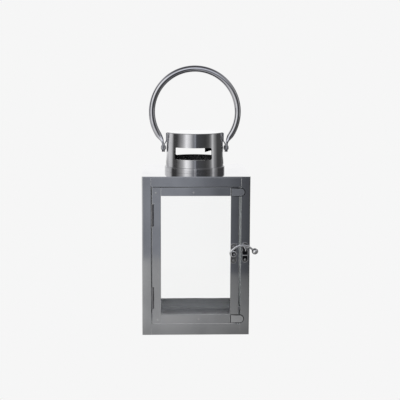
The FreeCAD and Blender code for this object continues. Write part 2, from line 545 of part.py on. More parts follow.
def make_hook(shop):
    """Hook: eye on the pivot, curved round arm, finger ball and a tooth that drops into the staple."""
    back = f"{HOOK_Y} - HookThickness / 2"
    eye = shop.rod("latch_hook_eye", "y", LATCH_X, back, "LatchHeight", "HookRing", "HookThickness")
    centre_x, centre_z = f"{LATCH_X} + HookArmX", "(LatchHeight - HookArmDrop)"
    arm = shop.doc.addObject("Part::Torus", "latch_hook_arm")
    shop.bind(arm, Radius1="HookArmRadius", Radius2="HookArmThickness / 2", Angle3="HookArmSweep")
    turn = Rotation(Vector(1, 0, 0), 90).multiply(Rotation(Vector(0, 0, 1), shop.value("HookArmStart")))
    arm.Placement = Placement(Vector(), turn)
    shop.bind(arm, Placement_Base_x=centre_x, Placement_Base_y=HOOK_Y, Placement_Base_z=centre_z)
    ball = shop.ball("latch_hook_ball", f"{centre_x} + (HookArmRadius + HookBallOut) * cos(HookArmStart * 1deg)",
                     f"{HOOK_Y} - HookBallProud",
                     f"{centre_z} + (HookArmRadius + HookBallOut) * sin(HookArmStart * 1deg)", "HookBall")
    tip_x, tip_z = f"{LATCH_X} + ToothX", "(LatchHeight + ToothRise)"
    tooth = shop.prism("latch_hook_tooth", "XZ",
                       [(tip_x, tip_z), (f"{tip_x} + ToothWidth / 2", f"{tip_z} + ToothHeight"),
                        (f"{tip_x} - ToothWidth / 2", f"{tip_z} + ToothHeight")],
                       f"{HOOK_Y} - ToothThickness / 2", f"{HOOK_Y} + ToothThickness / 2")
    blank = shop.fuse("latch_hook_blank", [eye, arm, ball, tooth])
    hole = shop.rod("latch_hook_hole", "y", LATCH_X, f"{HOOK_Y} - {REACH}", "LatchHeight",
                    "PivotRadius + PinClearance", f"{2 * REACH}")
    shop.keep("latch_hook", shop.cut("latch_hook", blank, hole))


def make_staple(shop):
    """U-shaped wire staple standing out of the catch plate, open upwards for the hook's tooth."""
    front, height = f"{FRONT} - PlateThickness", "(LatchHeight - StapleDrop)"
    bar_y = f"{front} - StapleReach"
    left, right = f"{CATCH_X} - StapleSpan / 2", f"{CATCH_X} + StapleSpan / 2"
    wires = [shop.rod("catch_staple_bar", "x", left, bar_y, height, "StapleWire", "StapleSpan")]
    for tag, x in (("left", left), ("right", right)):
        wires.append(shop.rod(f"catch_staple_leg_{tag}", "y", x, bar_y, height, "StapleWire", "StapleReach"))
        wires.append(shop.ball(f"catch_staple_bend_{tag}", x, bar_y, height, "StapleWire"))
    shop.keep("catch_staple", shop.fuse("catch_staple", wires))


def chimney_cone(shop, name, shrink="0"):
    """Body of the chimney's outside, or of its inside when shrunk by the wall."""
    return shop.cone(name, "z", "0", "0", "CaseHeight", f"ChimneyBase - {shrink}", f"ChimneyTop - {shrink}",
                     "ChimneyHeight - LidThickness")


def make_chimney(shop):
    """Tapered chimney tube with a front and a back slot, its foot collar and its closed lid."""
    low = "(CaseHeight + SlotLow)"
    cutters = []
    for end, width, middle, near, far in (("front", "SlotWidth", "-SlotShift", "-ChimneyBase - 5", "0"),
                                          ("back", "BackSlotWidth", "0", "0", "ChimneyBase + 5")):
        left, right = f"({middle} - {width} / 2)", f"({middle} + {width} / 2)"
        cutters.append(shop.box(f"chimney_slot_{end}_wide", (left, right), (near, far),
                                (f"{low} + SlotCorner", f"{low} + SlotHeight - SlotCorner")))
        cutters.append(shop.box(f"chimney_slot_{end}_tall", (f"{left} + SlotCorner", f"{right} - SlotCorner"),
                                (near, far), (low, f"{low} + SlotHeight")))
        cutters += [shop.rod(f"chimney_slot_{end}_{side}_{tag}", "y", x, near, z, "SlotCorner", f"{far} - ({near})")
                    for side, x in (("left", f"{left} + SlotCorner"), ("right", f"{right} - SlotCorner"))
                    for tag, z in (("low", f"{low} + SlotCorner"), ("high", f"{low} + SlotHeight - SlotCorner"))]
    tube = shop.cut("chimney_tube", chimney_cone(shop, "chimney_outside"),
                    chimney_cone(shop, "chimney_inside", "ChimneyWall"), *cutters)
    shop.keep("chimney_tube", tube)
    collar = shop.rod("chimney_collar_blank", "z", "0", "0", "CaseHeight", "CollarRadius", "CollarHeight")
    bore = shop.rod("chimney_collar_bore", "z", "0", "0", f"CaseHeight - {REACH}", "ChimneyBase + RivetFit",
                    f"CollarHeight + {2 * REACH}")
    shop.keep("chimney_collar", shop.cut("chimney_collar", collar, bore))
    shop.keep("chimney_lid", shop.rod("chimney_lid", "z", "0", "0", CHIMNEY_TOP, "LidRadius", "LidThickness"))


def make_ear(shop, side, sign):
    """Bail ear: strip welded to the chimney under the lid and joggled out to the pivot."""
    name, top = f"bail_ear_{side}", f"{CHIMNEY_TOP} - EarTopGap"
    inside = "ChimneyTop - EarThickness"
    profile = [(inside, top), ("ChimneyTop + EarTopThickness", top),
               (f"{EAR_OUT} - EarTopThickness", f"{PIVOT_Z} + EarBend - EarTopThickness"),
               (EAR_OUT, f"{PIVOT_Z} + EarJoggle"), (EAR_OUT, f"{PIVOT_Z} - EarWidth / 2"),
               (EAR_IN, f"{PIVOT_Z} - EarWidth / 2"), (EAR_IN, f"{PIVOT_Z} + EarJoggle"),
               (inside, f"{PIVOT_Z} + EarBend")]
    corners = [(signed(sign, x), z) for x, z in profile]
    strip = shop.prism(name + "_strip", "XZ", corners, "-EarWidth / 2", "EarWidth / 2")
    start = "0" if sign > 0 else "-2 * ChimneyBase"
    outline = shop.fuse(name + "_outline", [
        shop.box(name + "_shank", (start, f"{start} + 2 * ChimneyBase"), ("-EarWidth / 2", "EarWidth / 2"),
                 (PIVOT_Z, top)),
        shop.rod(name + "_end", "x", start, "0", PIVOT_Z, "EarWidth / 2", "2 * ChimneyBase")])
    blank = shop.common(name + "_blank", strip, outline)
    hole = shop.rod(name + "_hole", "x", start, "0", PIVOT_Z, "BailRivet + PinClearance", "2 * ChimneyBase")
    shop.keep(name, shop.cut(name, blank, chimney_cone(shop, name + "_seat"), hole))


def make_bail_rivet(shop, side, sign):
    """Rivet with two heads that joins an ear and a flattened end of the bail."""
    name = f"bail_rivet_{side}"
    inner, outer = f"{EAR_IN} - BailRivetHeadHeight", f"{TAB_OUT} + BailTabGap"
    shank_low, shank_high = span(sign, EAR_IN, outer)
    shank = shop.rod(name + "_shank", "x", shank_low, "0", PIVOT_Z, "BailRivet", f"{shank_high} - ({shank_low})")
    heads = []
    for tag, near, far, flat_first in (("inner", inner, EAR_IN, True), ("outer", outer, f"{outer} + BailRivetHeadHeight",
                                                                        False)):
        low = span(sign, near, far)[0]
        radii = ("BailRivetHeadTop", "BailRivetHead")
        if (sign > 0) != flat_first:
            radii = radii[::-1]
        heads.append(shop.cone(f"{name}_{tag}", "x", low, "0", PIVOT_Z, *radii, "BailRivetHeadHeight"))
    shop.keep(name, shop.fuse(name, [shank, *heads]))


def bail_end(shop, sign):
    """Tube end pressed flat: ellipses lofted from the round tube to the flat tab, and the tab."""
    centre_z, radius = shop.value("CaseHeight + BailCentre"), shop.value("BailRadius")
    angle = shop.value("BailEndAngle")
    tab_x = shop.value(f"({TAB_IN} + {TAB_OUT}) / 2")
    thick, width = shop.value("BailTabThickness / 2"), shop.value("BailTabWidth / 2")
    pivot_z, flat_z = shop.value(PIVOT_Z), shop.value(f"{PIVOT_Z} + BailTabRise")
    meet = math.degrees(math.acos(tab_x / radius))
    sunk = shop.value("BailTube - BailSink")
    girth = 2 * sunk
    sections = []
    # The neck starts inside the tube's end, a hair smaller than the tube, and is squeezed step by step.
    for share, squeeze in ((-0.25, 0.0), (0.0, 0.0), (0.45, 0.12), (0.85, 0.55)):
        turn = angle + share * (meet - angle)
        spot = Vector(radius * math.cos(math.radians(turn)), 0, centre_z - radius * math.sin(math.radians(turn)))
        flat = sunk + squeeze * (thick - sunk)
        sections.append((spot, turn, flat, min(girth - flat, width)))
    sections.append((Vector(tab_x, 0, flat_z), 0, 0.92 * thick, 0.95 * width))
    sections.append((Vector(tab_x, 0, flat_z - thick), 0, 0.92 * thick, 0.95 * width))
    wires = []
    for spot, turn, flat, wide in sections:
        major, minor = (wide, flat) if wide > flat else (flat * 1.0001, flat)
        ring = Part.Ellipse(Vector(), major, minor).toShape()
        # The ellipse lies across the tube: its long axis along Y, its short axis across the bend.
        ring.Placement = Placement(Vector(spot.x * sign, 0, spot.z),
                                   Rotation(Vector(0, 1, 0), sign * turn).multiply(Rotation(Vector(0, 0, 1), 90)))
        wires.append(Part.Wire([ring]))
    neck = Part.makeLoft(wires, True, False)
    tab = Part.makeBox(2 * thick, 2 * width, flat_z - pivot_z, Vector(sign * tab_x - thick, -width, pivot_z))
    end = Part.makeCylinder(width, 2 * thick, Vector(sign * tab_x - thick, 0, pivot_z), Vector(1, 0, 0))
    hole = Part.makeCylinder(shop.value("BailRivet + PinClearance"), 4 * thick,
                             Vector(sign * tab_x - 2 * thick, 0, pivot_z), Vector(1, 0, 0))
    return neck, tab.fuse(end).cut(hole)


def make_bail(shop):
    """Ring bail of round tube whose two ends are pressed flat, drilled and riveted to the ears."""
    tube, angle = shop.value("BailTube"), shop.value("BailEndAngle")
    radius, centre = shop.value("BailRadius"), Vector(0, 0, shop.value("CaseHeight + BailCentre"))
    sweep = 180 + 2 * angle
    start = Rotation(Vector(1, 0, 0), 90).multiply(Rotation(Vector(0, 0, 1), -angle))
    ring = Part.makeTorus(radius, tube, Vector(), Vector(0, 0, 1), 0, 360, sweep)
    core = Part.makeTorus(radius, tube - shop.value("BailWall"), Vector(), Vector(0, 0, 1), 0, 360, sweep)
    hollow = ring.cut(core)
    hollow.Placement = Placement(centre, start)
    pieces = [piece for sign in (-1, 1) for piece in bail_end(shop, sign)]
    bail = shop.doc.addObject("Part::Feature", "bail_ring")
    bail.Shape = hollow.multiFuse(pieces).removeSplitter()
    bail.Placement = Placement()
    shop.keep("bail_ring", bail)


def export(shop):
    """Check every object and write each sub-part to its own file."""
    shop.doc.recompute()
    for item in shop.doc.Objects:
        if {"Invalid", "Error"} & set(item.State):
            raise RuntimeError(f"{item.Name} failed: {item.State}")
    os.makedirs("parts", exist_ok=True)
    for item in shop.nodes:
        shape = item.Shape
        if shape.isNull() or not shape.isValid() or not shape.Solids:
            raise RuntimeError(f"{item.Label} has no valid shape")
    for item in shop.nodes:
        item.Shape.exportStep(f"parts/{item.Label}.step")
        print(f"{item.Label}: {len(item.Shape.Solids)} solids, {item.Shape.Volume:.1f} mm3")


def main():
    """Build the lantern and write its sub-parts."""
    shop = Workshop()
    make_posts(shop)
    make_rails(shop)
    make_plates(shop)
    make_panes(shop)
    make_door(shop)
    make_hinge(shop, "upper", HINGE_HIGH)
    make_hinge(shop, "lower", "HingeLower")
    make_latch(shop)
    make_chimney(shop)
    for side, sign in (("left", -1), ("right", 1)):
        make_ear(shop, side, sign)
        make_bail_rivet(shop, side, sign)
    make_bail(shop)
    export(shop)


main()
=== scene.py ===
"""Candle lantern: its looks, built as typed sub-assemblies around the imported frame."""
import logging
import math
from dataclasses import dataclass, replace
from enum import Enum, StrEnum
from functools import cache
from typing import Any, Callable, Sequence

import bmesh
import bpy
import numpy as np
from mathutils import Matrix, Vector


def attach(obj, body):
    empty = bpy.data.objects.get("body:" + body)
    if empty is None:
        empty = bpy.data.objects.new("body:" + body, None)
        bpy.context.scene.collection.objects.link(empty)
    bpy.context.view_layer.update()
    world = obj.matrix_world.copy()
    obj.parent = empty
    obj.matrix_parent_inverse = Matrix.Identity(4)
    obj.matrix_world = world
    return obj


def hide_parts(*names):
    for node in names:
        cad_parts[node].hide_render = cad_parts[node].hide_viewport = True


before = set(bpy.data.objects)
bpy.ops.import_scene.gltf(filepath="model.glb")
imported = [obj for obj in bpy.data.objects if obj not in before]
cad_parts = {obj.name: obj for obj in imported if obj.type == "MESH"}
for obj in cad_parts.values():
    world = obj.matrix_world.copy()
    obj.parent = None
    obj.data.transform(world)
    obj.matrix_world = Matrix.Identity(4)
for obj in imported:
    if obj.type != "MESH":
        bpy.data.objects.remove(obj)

log = logging.getLogger("lantern")
MM = 0.001
TAU = 2 * math.pi
QUARTER = math.pi / 2
Colour = tuple[float, float, float]
Array = np.ndarray


class Body(Enum):
    """Bodies of the frame that a piece can ride on."""

    CASE = "case"
    DOOR = "door"
    HOOK = "hook"
    BAIL = "bail"


class Slot(Enum):
    """Material slots of the record."""

    CASE = "case_steel"
    POLISHED = "polished_steel"
    MIRROR = "mirror_plate"
    CAST = "cast_steel"
    HINGE = "hinge_steel"
    GLASS = "clear_glass"


class Level(StrEnum):
    """Upper and lower strips of a frame."""

    TOP = "top"
    BOTTOM = "bottom"


class Side(StrEnum):
    """Sides of the lantern."""

    FRONT = "front"
    BACK = "back"
    LEFT = "left"
    RIGHT = "right"

    @property
    def sign(self) -> int:
        """Which way the side lies along its axis: -1 for front and left, 1 for back and right."""
        return 1 if self in (Side.BACK, Side.RIGHT) else -1

    def lay(self, along: Any, out: Any, up: Any) -> Array:
        """Points from their place along this side, their reach out from the middle and their height."""
        away = self.sign * out
        return points(along, away, up) if self in (Side.FRONT, Side.BACK) else points(away, along, up)


# ---------------------------------------------------------------- shader maths


def maths(operation: str, reflected: bool = False) -> Callable[..., "Flow"]:
    """Method of Flow that adds a Math node.

    Args:
        operation: the node's operation.
        reflected: put the other value first, as in 1 - mask.

    Returns:
        The method.
    """

    def method(self: "Flow", *other: Any) -> "Flow":
        """Add the Math node."""
        values = (*other, self) if reflected else (self, *other)
        return self.tree.node("ShaderNodeMath", {"operation": operation}, dict(enumerate(values)))

    return method


class Flow:
    """One output of a node tree, with the arithmetic that the finishes use."""

    def __init__(self, tree: "Tree", socket: Any) -> None:
        """Wrap a socket of a tree."""
        self.tree, self.socket = tree, socket

    __add__ = __radd__ = maths("ADD")
    __mul__ = __rmul__ = maths("MULTIPLY")
    __sub__, __rsub__ = maths("SUBTRACT"), maths("SUBTRACT", True)
    __truediv__, __rtruediv__ = maths("DIVIDE"), maths("DIVIDE", True)
    __pow__, __rpow__ = maths("POWER"), maths("POWER", True)
    __abs__ = maths("ABSOLUTE")
    largest = maths("MAXIMUM")
    arctan2 = maths("ARCTAN2")

    def __neg__(self) -> "Flow":
        """Negative."""
        return self * -1.0

    def between(self, low: float, high: float) -> "Flow":
        """Share of the way from low to high, held between 0 and 1 and eased.

        Args:
            low: value that gives 0.
            high: value that gives 1.

        Returns:
            The eased share.
        """
        return self.tree.node("ShaderNodeMapRange", {"interpolation_type": "SMOOTHSTEP"},
                              {"Value": self, "From Min": low, "From Max": high})


class Tree:
    """The node tree of a material or world, being written."""

    def __init__(self, owner: Any) -> None:
        """Start the owner's tree afresh.

        Args:
            owner: material or world.
        """
        owner.use_nodes = True
        self.tree = owner.node_tree
        self.tree.nodes.clear()

    def node(self, kind: str, settings: dict[str, Any] | None = None,
             inputs: dict[Any, Any] | None = None, output: Any = 0) -> Flow:
        """Add a node.

        Args:
            kind: the node's type.
            settings: its settings, "stops" among them for a ramp.
            inputs: values or flows by socket name or number; a colour may leave out its alpha.
            output: name or number of the output wanted.

        Returns:
            The wanted output.
        """
        made = self.tree.nodes.new(kind)
        for name, value in (settings or {}).items():
            if name == "stops":
                ramp = made.color_ramp.elements
                for place, colour in value[2:]:
                    ramp.new(place)
                for stop, (place, colour) in zip(ramp, value):
                    stop.position, stop.color = place, (*colour, 1.0)
            else:
                setattr(made, name, value)
        for name, value in (inputs or {}).items():
            socket = made.inputs[name]
            if isinstance(value, Flow):
                self.tree.links.new(value.socket, socket)
            else:
                socket.default_value = (*value, 1.0) if socket.type == "RGBA" and len(value) == 3 else value
        return Flow(self, made.outputs[output] if len(made.outputs) else None)

    def place(self, stretch: Sequence[float] = (1, 1, 1)) -> Flow:
        """Object coordinates, stretched by a factor on each axis."""
        spot = self.node("ShaderNodeTexCoord", output="Object")
        return self.node("ShaderNodeMapping", None, {"Vector": spot, "Scale": tuple(stretch)})

    def parts(self, source: str = "Object") -> list[Flow]:
        """The three parts of one of Texture Coordinate's outputs."""
        spot = self.node("ShaderNodeSeparateXYZ", None, {0: self.node("ShaderNodeTexCoord", output=source)})
        return [Flow(self, part) for part in spot.socket.node.outputs]

    def noise(self, where: Flow, scale: float, detail: float = 3.0, rough: float = 0.5) -> Flow:
        """Noise value around 0.5 at a place."""
        return self.node("ShaderNodeTexNoise", None,
                         {"Vector": where, "Scale": scale, "Detail": detail, "Roughness": rough})

    def mix(self, share: Any, first: Any, second: Any) -> Flow:
        """Blend two colours."""
        return self.node("ShaderNodeMix", {"data_type": "RGBA"}, {0: share, 6: first, 7: second}, 2)

    def surface(self, shader: Flow, kind: str = "Material") -> None:
        """Send a shader to the tree's output."""
        self.node(f"ShaderNodeOutput{kind}", None, {"Surface": shader})


# ---------------------------------------------------------------- finishes


class Inside(Enum):
    """How a finish finds the duller faces inside the lantern."""

    NONE = "none"
    BOX = "box"
    ROUND = "round"


@dataclass(frozen=True)
class Steel:
    """Bare steel: brushed or polished, with cloudy tarnish and fine scratches.

    The limits of the inside are in metres: from the middle of the case to the middle of its walls,
    and from the axis to the middle of the chimney's wall at its foot.
    """

    name: str
    light: Colour
    dark: Colour
    roughness: float
    spread: float = 0.05
    grain: tuple[float, float, float] = (900.0, 900.0, 60.0)
    grain_depth: float = 0.004
    dents: float = 0.02
    cloud: float = 34.0
    inside: Inside = Inside.NONE
    # Relief draws black where a piece's wear value is low: real oxide on castings, painted shade on the door's hidden
    # flanges, round the stop tabs and in the catch plate's middle.
    relief_and_shade: bool = False
    oxide_and_shade: Colour = (0.012, 0.012, 0.014)
    # Colour of the faces inside the lantern: duller steel, and in two copies made lighter as painted light.
    raw_and_painted_light: Colour = (0.30, 0.305, 0.31)
    raw_roughness: float = 0.30
    box_limits: tuple[float, float] = (0.05455, 0.05485)
    tube_limits: tuple[float, float] = (0.0300, 0.0304)
    tube_foot: float = 0.1646
    tube_taper: float = 0.0274

    def inner(self, tree: Tree) -> Flow:
        """Mask of the faces that look into the lantern, from how far out a point lies.

        Args:
            tree: the tree being written.

        Returns:
            1 inside and 0 on the outer skin.
        """
        x, y, z = tree.parts()
        if self.inside is Inside.BOX:
            return 1 - abs(x).largest(abs(y)).between(*self.box_limits)
        reach = (x * x + y * y) ** 0.5 + self.tube_taper * (z - self.tube_foot)
        return 1 - reach.between(*self.tube_limits)

    def material(self) -> bpy.types.Material:
        """Write the material.

        Colour goes from light to dark with large clouds and small specks; roughness follows the
        clouds and the brushing; the bump is the brushing plus shallow hammer-soft dents. With
        relief, black is drawn where the piece's wear value is low: real oxide in the castings' hollows,
        and painted shade on the door's hidden flanges, round the stop tabs' edges and in the catch
        plate's middle.

        Returns:
            The material.
        """
        made = bpy.data.materials.new(self.name)
        tree = Tree(made)
        spot = tree.place()
        clouds = tree.noise(spot, self.cloud, 4.0, 0.6)
        specks = tree.noise(spot, 1400.0, 2.0)
        brushing = tree.noise(tree.place(self.grain), 1.0, 2.0, 0.7)
        swell = tree.noise(spot, 55.0, 1.0)
        tarnish = (clouds + 0.35 * (specks - 0.5)).between(0.38, 0.78)
        colour = tree.mix(tarnish, self.light, self.dark)
        rough = self.roughness + self.spread * (clouds - 0.5) + 0.6 * self.spread * (brushing - 0.5)
        height = self.grain_depth * brushing + self.dents * swell
        metal: Any = 1.0
        if self.relief_and_shade:
            # Black where the wear value is low: real oxide in cast hollows, painted shade on the pieces that set it.
            wear = tree.node("ShaderNodeAttribute", {"attribute_name": "wear"}, output="Fac")
            metal = (wear + 0.3 * (clouds - 0.5)).between(0.15, 0.8)
            colour = tree.mix(metal, self.oxide_and_shade, colour)
            rough = rough + 0.3 * (1 - metal)
        if self.inside is not Inside.NONE:
            mask = self.inner(tree)
            colour = tree.mix(mask, colour, self.raw_and_painted_light)
            rough = rough + self.raw_roughness * mask
            height = height * (1 - 0.85 * mask)
        bump = tree.node("ShaderNodeBump", None, {"Strength": 1.0, "Distance": MM, "Height": height})
        tree.surface(tree.node("ShaderNodeBsdfPrincipled", None, {
            "Base Color": colour, "Metallic": metal, "Roughness": rough, "Normal": bump,
            "Specular IOR Level": 0.0 if self.relief_and_shade else 0.5}))
        return made


@dataclass(frozen=True)
class Glass:
    """Float glass: clear through its faces, greener and duller at its cut edges."""

    name: str
    across: tuple[float, float, float]
    clear: Colour = (0.999, 1.0, 0.9995)
    green: Colour = (0.68, 0.75, 0.72)

    def material(self) -> bpy.types.Material:
        """Write the material: a see-through shader, and a mirror by Fresnel on top of it.

        Returns:
            The material.
        """
        made = bpy.data.materials.new(self.name)
        tree = Tree(made)
        normal = tree.node("ShaderNodeNewGeometry", output="True Normal")
        facing = abs(tree.node("ShaderNodeVectorMath", {"operation": "DOT_PRODUCT"},
                               {0: normal, 1: self.across}, "Value"))
        edge = 1 - facing.between(0.4, 0.6)
        smears = tree.noise(tree.place(), 40.0, 4.0, 0.6)
        through = tree.node("ShaderNodeBsdfTransparent", None, {"Color": self.clear})
        cut = tree.node("ShaderNodeBsdfPrincipled", None,
                        {"Base Color": self.green, "Roughness": 0.25, "Coat Weight": 0.3})
        sheen = tree.node("ShaderNodeBsdfPrincipled", None,
                          {"Base Color": (0.95, 0.97, 0.96), "Metallic": 1.0,
                           "Roughness": 0.015 + 0.05 * smears.between(0.55, 0.8)})
        share = 0.3 * tree.node("ShaderNodeFresnel", None, {"IOR": 1.45})
        face = tree.node("ShaderNodeMixShader", None, {0: share, 1: through, 2: sheen})
        tree.surface(tree.node("ShaderNodeMixShader", None, {0: 0.4 * edge, 1: face, 2: cut}))
        return made


SATIN = Steel("satin_steel", (0.44, 0.445, 0.455), (0.38, 0.385, 0.40), 0.085, inside=Inside.BOX,
              grain_depth=0.0015, dents=0.010)
SATIN_FLAT = replace(SATIN, name="satin_steel_across", grain=(60.0, 900.0, 900.0))
# Copy whose inner faces are painted light, as if lit from the right.
SATIN_PAINTED_LIGHT = replace(SATIN, name="satin_steel_painted_light", raw_and_painted_light=(0.85, 0.86, 0.87), raw_roughness=0.35)
# Copy whose inner faces are painted lighter: painted light on the back bottom rail.
SATIN_BACK_PAINTED_LIGHT = replace(SATIN_FLAT, name="satin_steel_back_painted_light", raw_and_painted_light=(0.48, 0.485, 0.49))
# Door strips: the flanges' outer faces in the gap round the door are painted black as shade.
DOOR_UP = replace(SATIN, name="door_steel", relief_and_shade=True)
DOOR_ACROSS = replace(SATIN_FLAT, name="door_steel_across", relief_and_shade=True)
TAB = Steel("tab_steel", (0.62, 0.625, 0.635), (0.54, 0.545, 0.56), 0.13, grain=(300.0, 900.0, 300.0),
            grain_depth=0.002, dents=0.010, relief_and_shade=True)
POLISHED = Steel("polished_steel", (0.50, 0.50, 0.51), (0.40, 0.40, 0.42), 0.10, grain=(500.0, 500.0, 900.0),
                 grain_depth=0.002, dents=0.006, inside=Inside.ROUND, raw_and_painted_light=(0.12, 0.12, 0.125), raw_roughness=0.12)
COLLAR = replace(POLISHED, name="collar_steel", roughness=0.07, spread=0.03, grain_depth=0.001, dents=0.004)
TUBE = Steel("drawn_tube_steel", (0.50, 0.50, 0.52), (0.36, 0.36, 0.39), 0.045, spread=0.03,
             grain=(300.0, 900.0, 300.0), grain_depth=0.002, dents=0.004)
FLOOR = Steel("floor_steel", (0.30, 0.30, 0.31), (0.25, 0.25, 0.26), 0.24, spread=0.04, grain_depth=0.0006,
              dents=0.0015)
MIRROR = replace(FLOOR, name="mirror_steel", light=(0.62, 0.62, 0.63), dark=(0.55, 0.55, 0.57), roughness=0.05,
                 spread=0.03)
CAST = Steel("cast_steel", (0.52, 0.52, 0.53), (0.40, 0.40, 0.41), 0.16, spread=0.10,
             grain=(700.0, 700.0, 700.0), grain_depth=0.012, dents=0.03, cloud=190.0, relief_and_shade=True)
HOOKED = replace(CAST, name="rubbed_casting", light=(0.80, 0.80, 0.81), dark=(0.44, 0.44, 0.45), roughness=0.09,
                 spread=0.06, grain_depth=0.010, dents=0.02, relief_and_shade=False)
ROLLED = Steel("rolled_steel", (0.24, 0.24, 0.25), (0.15, 0.15, 0.16), 0.17, spread=0.1,
               grain=(1200.0, 1200.0, 120.0), dents=0.015, cloud=120.0)
SOLDER = Steel("solder", (0.62, 0.62, 0.62), (0.40, 0.40, 0.41), 0.22, spread=0.12,
               grain=(600.0, 600.0, 600.0), grain_depth=0.01, dents=0.04, cloud=260.0)
GLASS_X = Glass("float_glass_side", (1.0, 0.0, 0.0))
GLASS_Y = Glass("float_glass_front", (0.0, 1.0, 0.0))
Finish = Steel | Glass


@cache
def material_of(finish: Finish) -> bpy.types.Material:
    """The finish's material, written once."""
    return finish.material()


# ---------------------------------------------------------------- shapes


def points(*parts: Any) -> Array:
    """Points from their coordinates, which are stretched to one shape."""
    return np.stack(np.broadcast_arrays(*parts), -1)


def circle(turn: Array) -> Array:
    """Points (cos, sin) of the unit circle at the given angles."""
    return points(np.cos(turn), np.sin(turn))


def upright(plan: Array, y: Any) -> Array:
    """Points whose places across and up are the plan's, at a depth y."""
    return points(plan[..., 0], y, plan[..., 1])


def unit(vectors: Array) -> Array:
    """Vectors brought to length one along the last axis."""
    return vectors / np.linalg.norm(vectors, axis=-1, keepdims=True)


def ease(share: Any) -> Any:
    """Smooth step from 0 to 1."""
    held = np.clip(share, 0, 1)
    return held * held * (3 - 2 * held)


def rounded(corners: Sequence[Sequence[float]], radii: Sequence[float], steps: int = 4) -> Array:
    """Closed outline with a round at each corner.

    Each corner gives a quadratic curve from a point its radius back along one side to a point its
    radius on along the next: (1-t)^2 start + 2t(1-t) corner + t^2 end.

    Args:
        corners: the outline's corners in order.
        radii: distance from each corner at which its round starts.
        steps: segments of each round.

    Returns:
        Points of the outline, one row each.
    """
    spots = np.asarray(corners, float)
    reach = np.asarray(radii, float)[:, None]
    start = spots + unit(np.roll(spots, 1, 0) - spots) * reach
    end = spots + unit(np.roll(spots, -1, 0) - spots) * reach
    t = np.linspace(0, 1, steps + 1)[None, :, None]
    curve = (1 - t) ** 2 * start[:, None] + 2 * t * (1 - t) * spots[:, None] + t ** 2 * end[:, None]
    return curve.reshape(-1, spots.shape[1])


def section(half_a: Any, half_b: Any, corner: Any, steps: int = 6) -> Array:
    """Rounded rectangles for a row of stations.

    A point is its quarter's corner centre plus the corner radius times (cos, sin) of an angle that
    runs once round; with both half widths equal to the radius it is a circle.

    Args:
        half_a: half width along the first direction, one for each station or one for all.
        half_b: half width along the second direction.
        corner: radius of the corners.
        steps: segments of each quarter.

    Returns:
        Array of stations x points x 2.
    """
    turn = np.concatenate([np.linspace(0, QUARTER, steps + 1) + k * QUARTER for k in range(4)])
    sign_a = np.repeat([1, -1, -1, 1], steps + 1)
    sign_b = np.repeat([1, 1, -1, -1], steps + 1)
    a, b, r = (np.atleast_1d(v)[:, None] for v in (half_a, half_b, corner))
    return points(sign_a * (a - r) + r * np.cos(turn), sign_b * (b - r) + r * np.sin(turn))


def swept(path: Array, flat: Sequence[float], half_a: Any, half_b: Any, corner: Any, steps: int = 6) -> Array:
    """Rounded rectangles carried along a flat path.

    At each station the first direction is the path's tangent crossed with the plane's normal, and
    the second is that normal.

    Args:
        path: points along the middle.
        flat: unit normal of the plane that the path lies in.
        half_a: half width in the path's plane, one for each station or one for all.
        half_b: half width along the normal.
        corner: corner radius.
        steps: segments of each quarter.

    Returns:
        Rows of points, one row for each station.
    """
    second = np.asarray(flat, float)
    first = unit(np.cross(unit(np.gradient(path, axis=0)), second))
    shape = section(half_a, half_b, corner, steps)
    return path[:, None] + shape[..., :1] * first[:, None] + shape[..., 1:] * second


def turned(profile: Any, centre: Sequence[float], axis: Sequence[float], steps: int = 48) -> Array:
    """Profile of radius and height turned about an axis.

    A point is centre + height * axis + radius * (cos * side + sin * up).

    Args:
        profile: radius and height of each ring.
        centre: point on the axis at height 0.
        axis: unit direction of the axis.
        steps: points of each ring.

    Returns:
        Rows of points, one row for each ring.
    """
    shape = np.asarray(profile, float)
    along = np.asarray(axis, float)
    side = unit(np.cross(along, (0.0, 0.0, 1.0) if abs(along[2]) < 0.9 else (0.0, 1.0, 0.0)))
    ring = circle(np.linspace(0, TAU, steps, endpoint=False)) @ np.stack([side, np.cross(along, side)])
    return np.asarray(centre, float) + shape[:, 1, None, None] * along + shape[:, 0, None, None] * ring


def dome(radius: float, base: float, top: float) -> Array:
    """Profile of a domed head: a quarter ellipse from the rim at base to the pole at top."""
    return (0, base) + np.array([radius, top - base]) * circle(np.linspace(0, QUARTER, 7))


def blend_line(start: Array, start_way: Array, end: Array, end_way: Array, steps: int) -> Array:
    """Cubic curve between two points with the given end directions (Hermite form)."""
    t = np.linspace(0, 1, steps)[:, None]
    return ((2 * t ** 3 - 3 * t ** 2 + 1) * start + (t ** 3 - 2 * t ** 2 + t) * start_way
            + (3 * t ** 2 - 2 * t ** 3) * end + (t ** 3 - t ** 2) * end_way)


def distances(path: Array) -> Array:
    """Length of a path up to each of its points."""
    return np.concatenate([[0], np.cumsum(np.linalg.norm(np.diff(path, axis=0), axis=1))])


def resampled(path: Array, count: int) -> Array:
    """Points at even steps along a path."""
    run = distances(path)
    return points(*(np.interp(np.linspace(0, run[-1], count), run, part) for part in path.T))


def wander(along: Array, seed: int, depth: float = 0.05) -> Array:
    """Slow waviness of rolled strip, from 0 to depth: two sines with seeded phases.

    Args:
        along: places along the strip in millimetres.
        seed: chooses the phases and lengths.
        depth: largest value.

    Returns:
        The offset at each place.
    """
    draw = np.random.default_rng(seed)
    first, second = draw.uniform(0, TAU, 2)
    long, short = draw.uniform(58, 90), draw.uniform(24, 40)
    wave = np.sin(TAU * along / long + first) + 0.35 * np.sin(TAU * along / short + second)
    return depth * (0.5 + wave / 2.7)


def linked(name: str, data: Any) -> bpy.types.Object:
    """Put a new object in the scene.

    Args:
        name: the object's name.
        data: its mesh or camera.

    Returns:
        The object.
    """
    made = bpy.data.objects.new(name, data)
    bpy.context.scene.collection.objects.link(made)
    return made


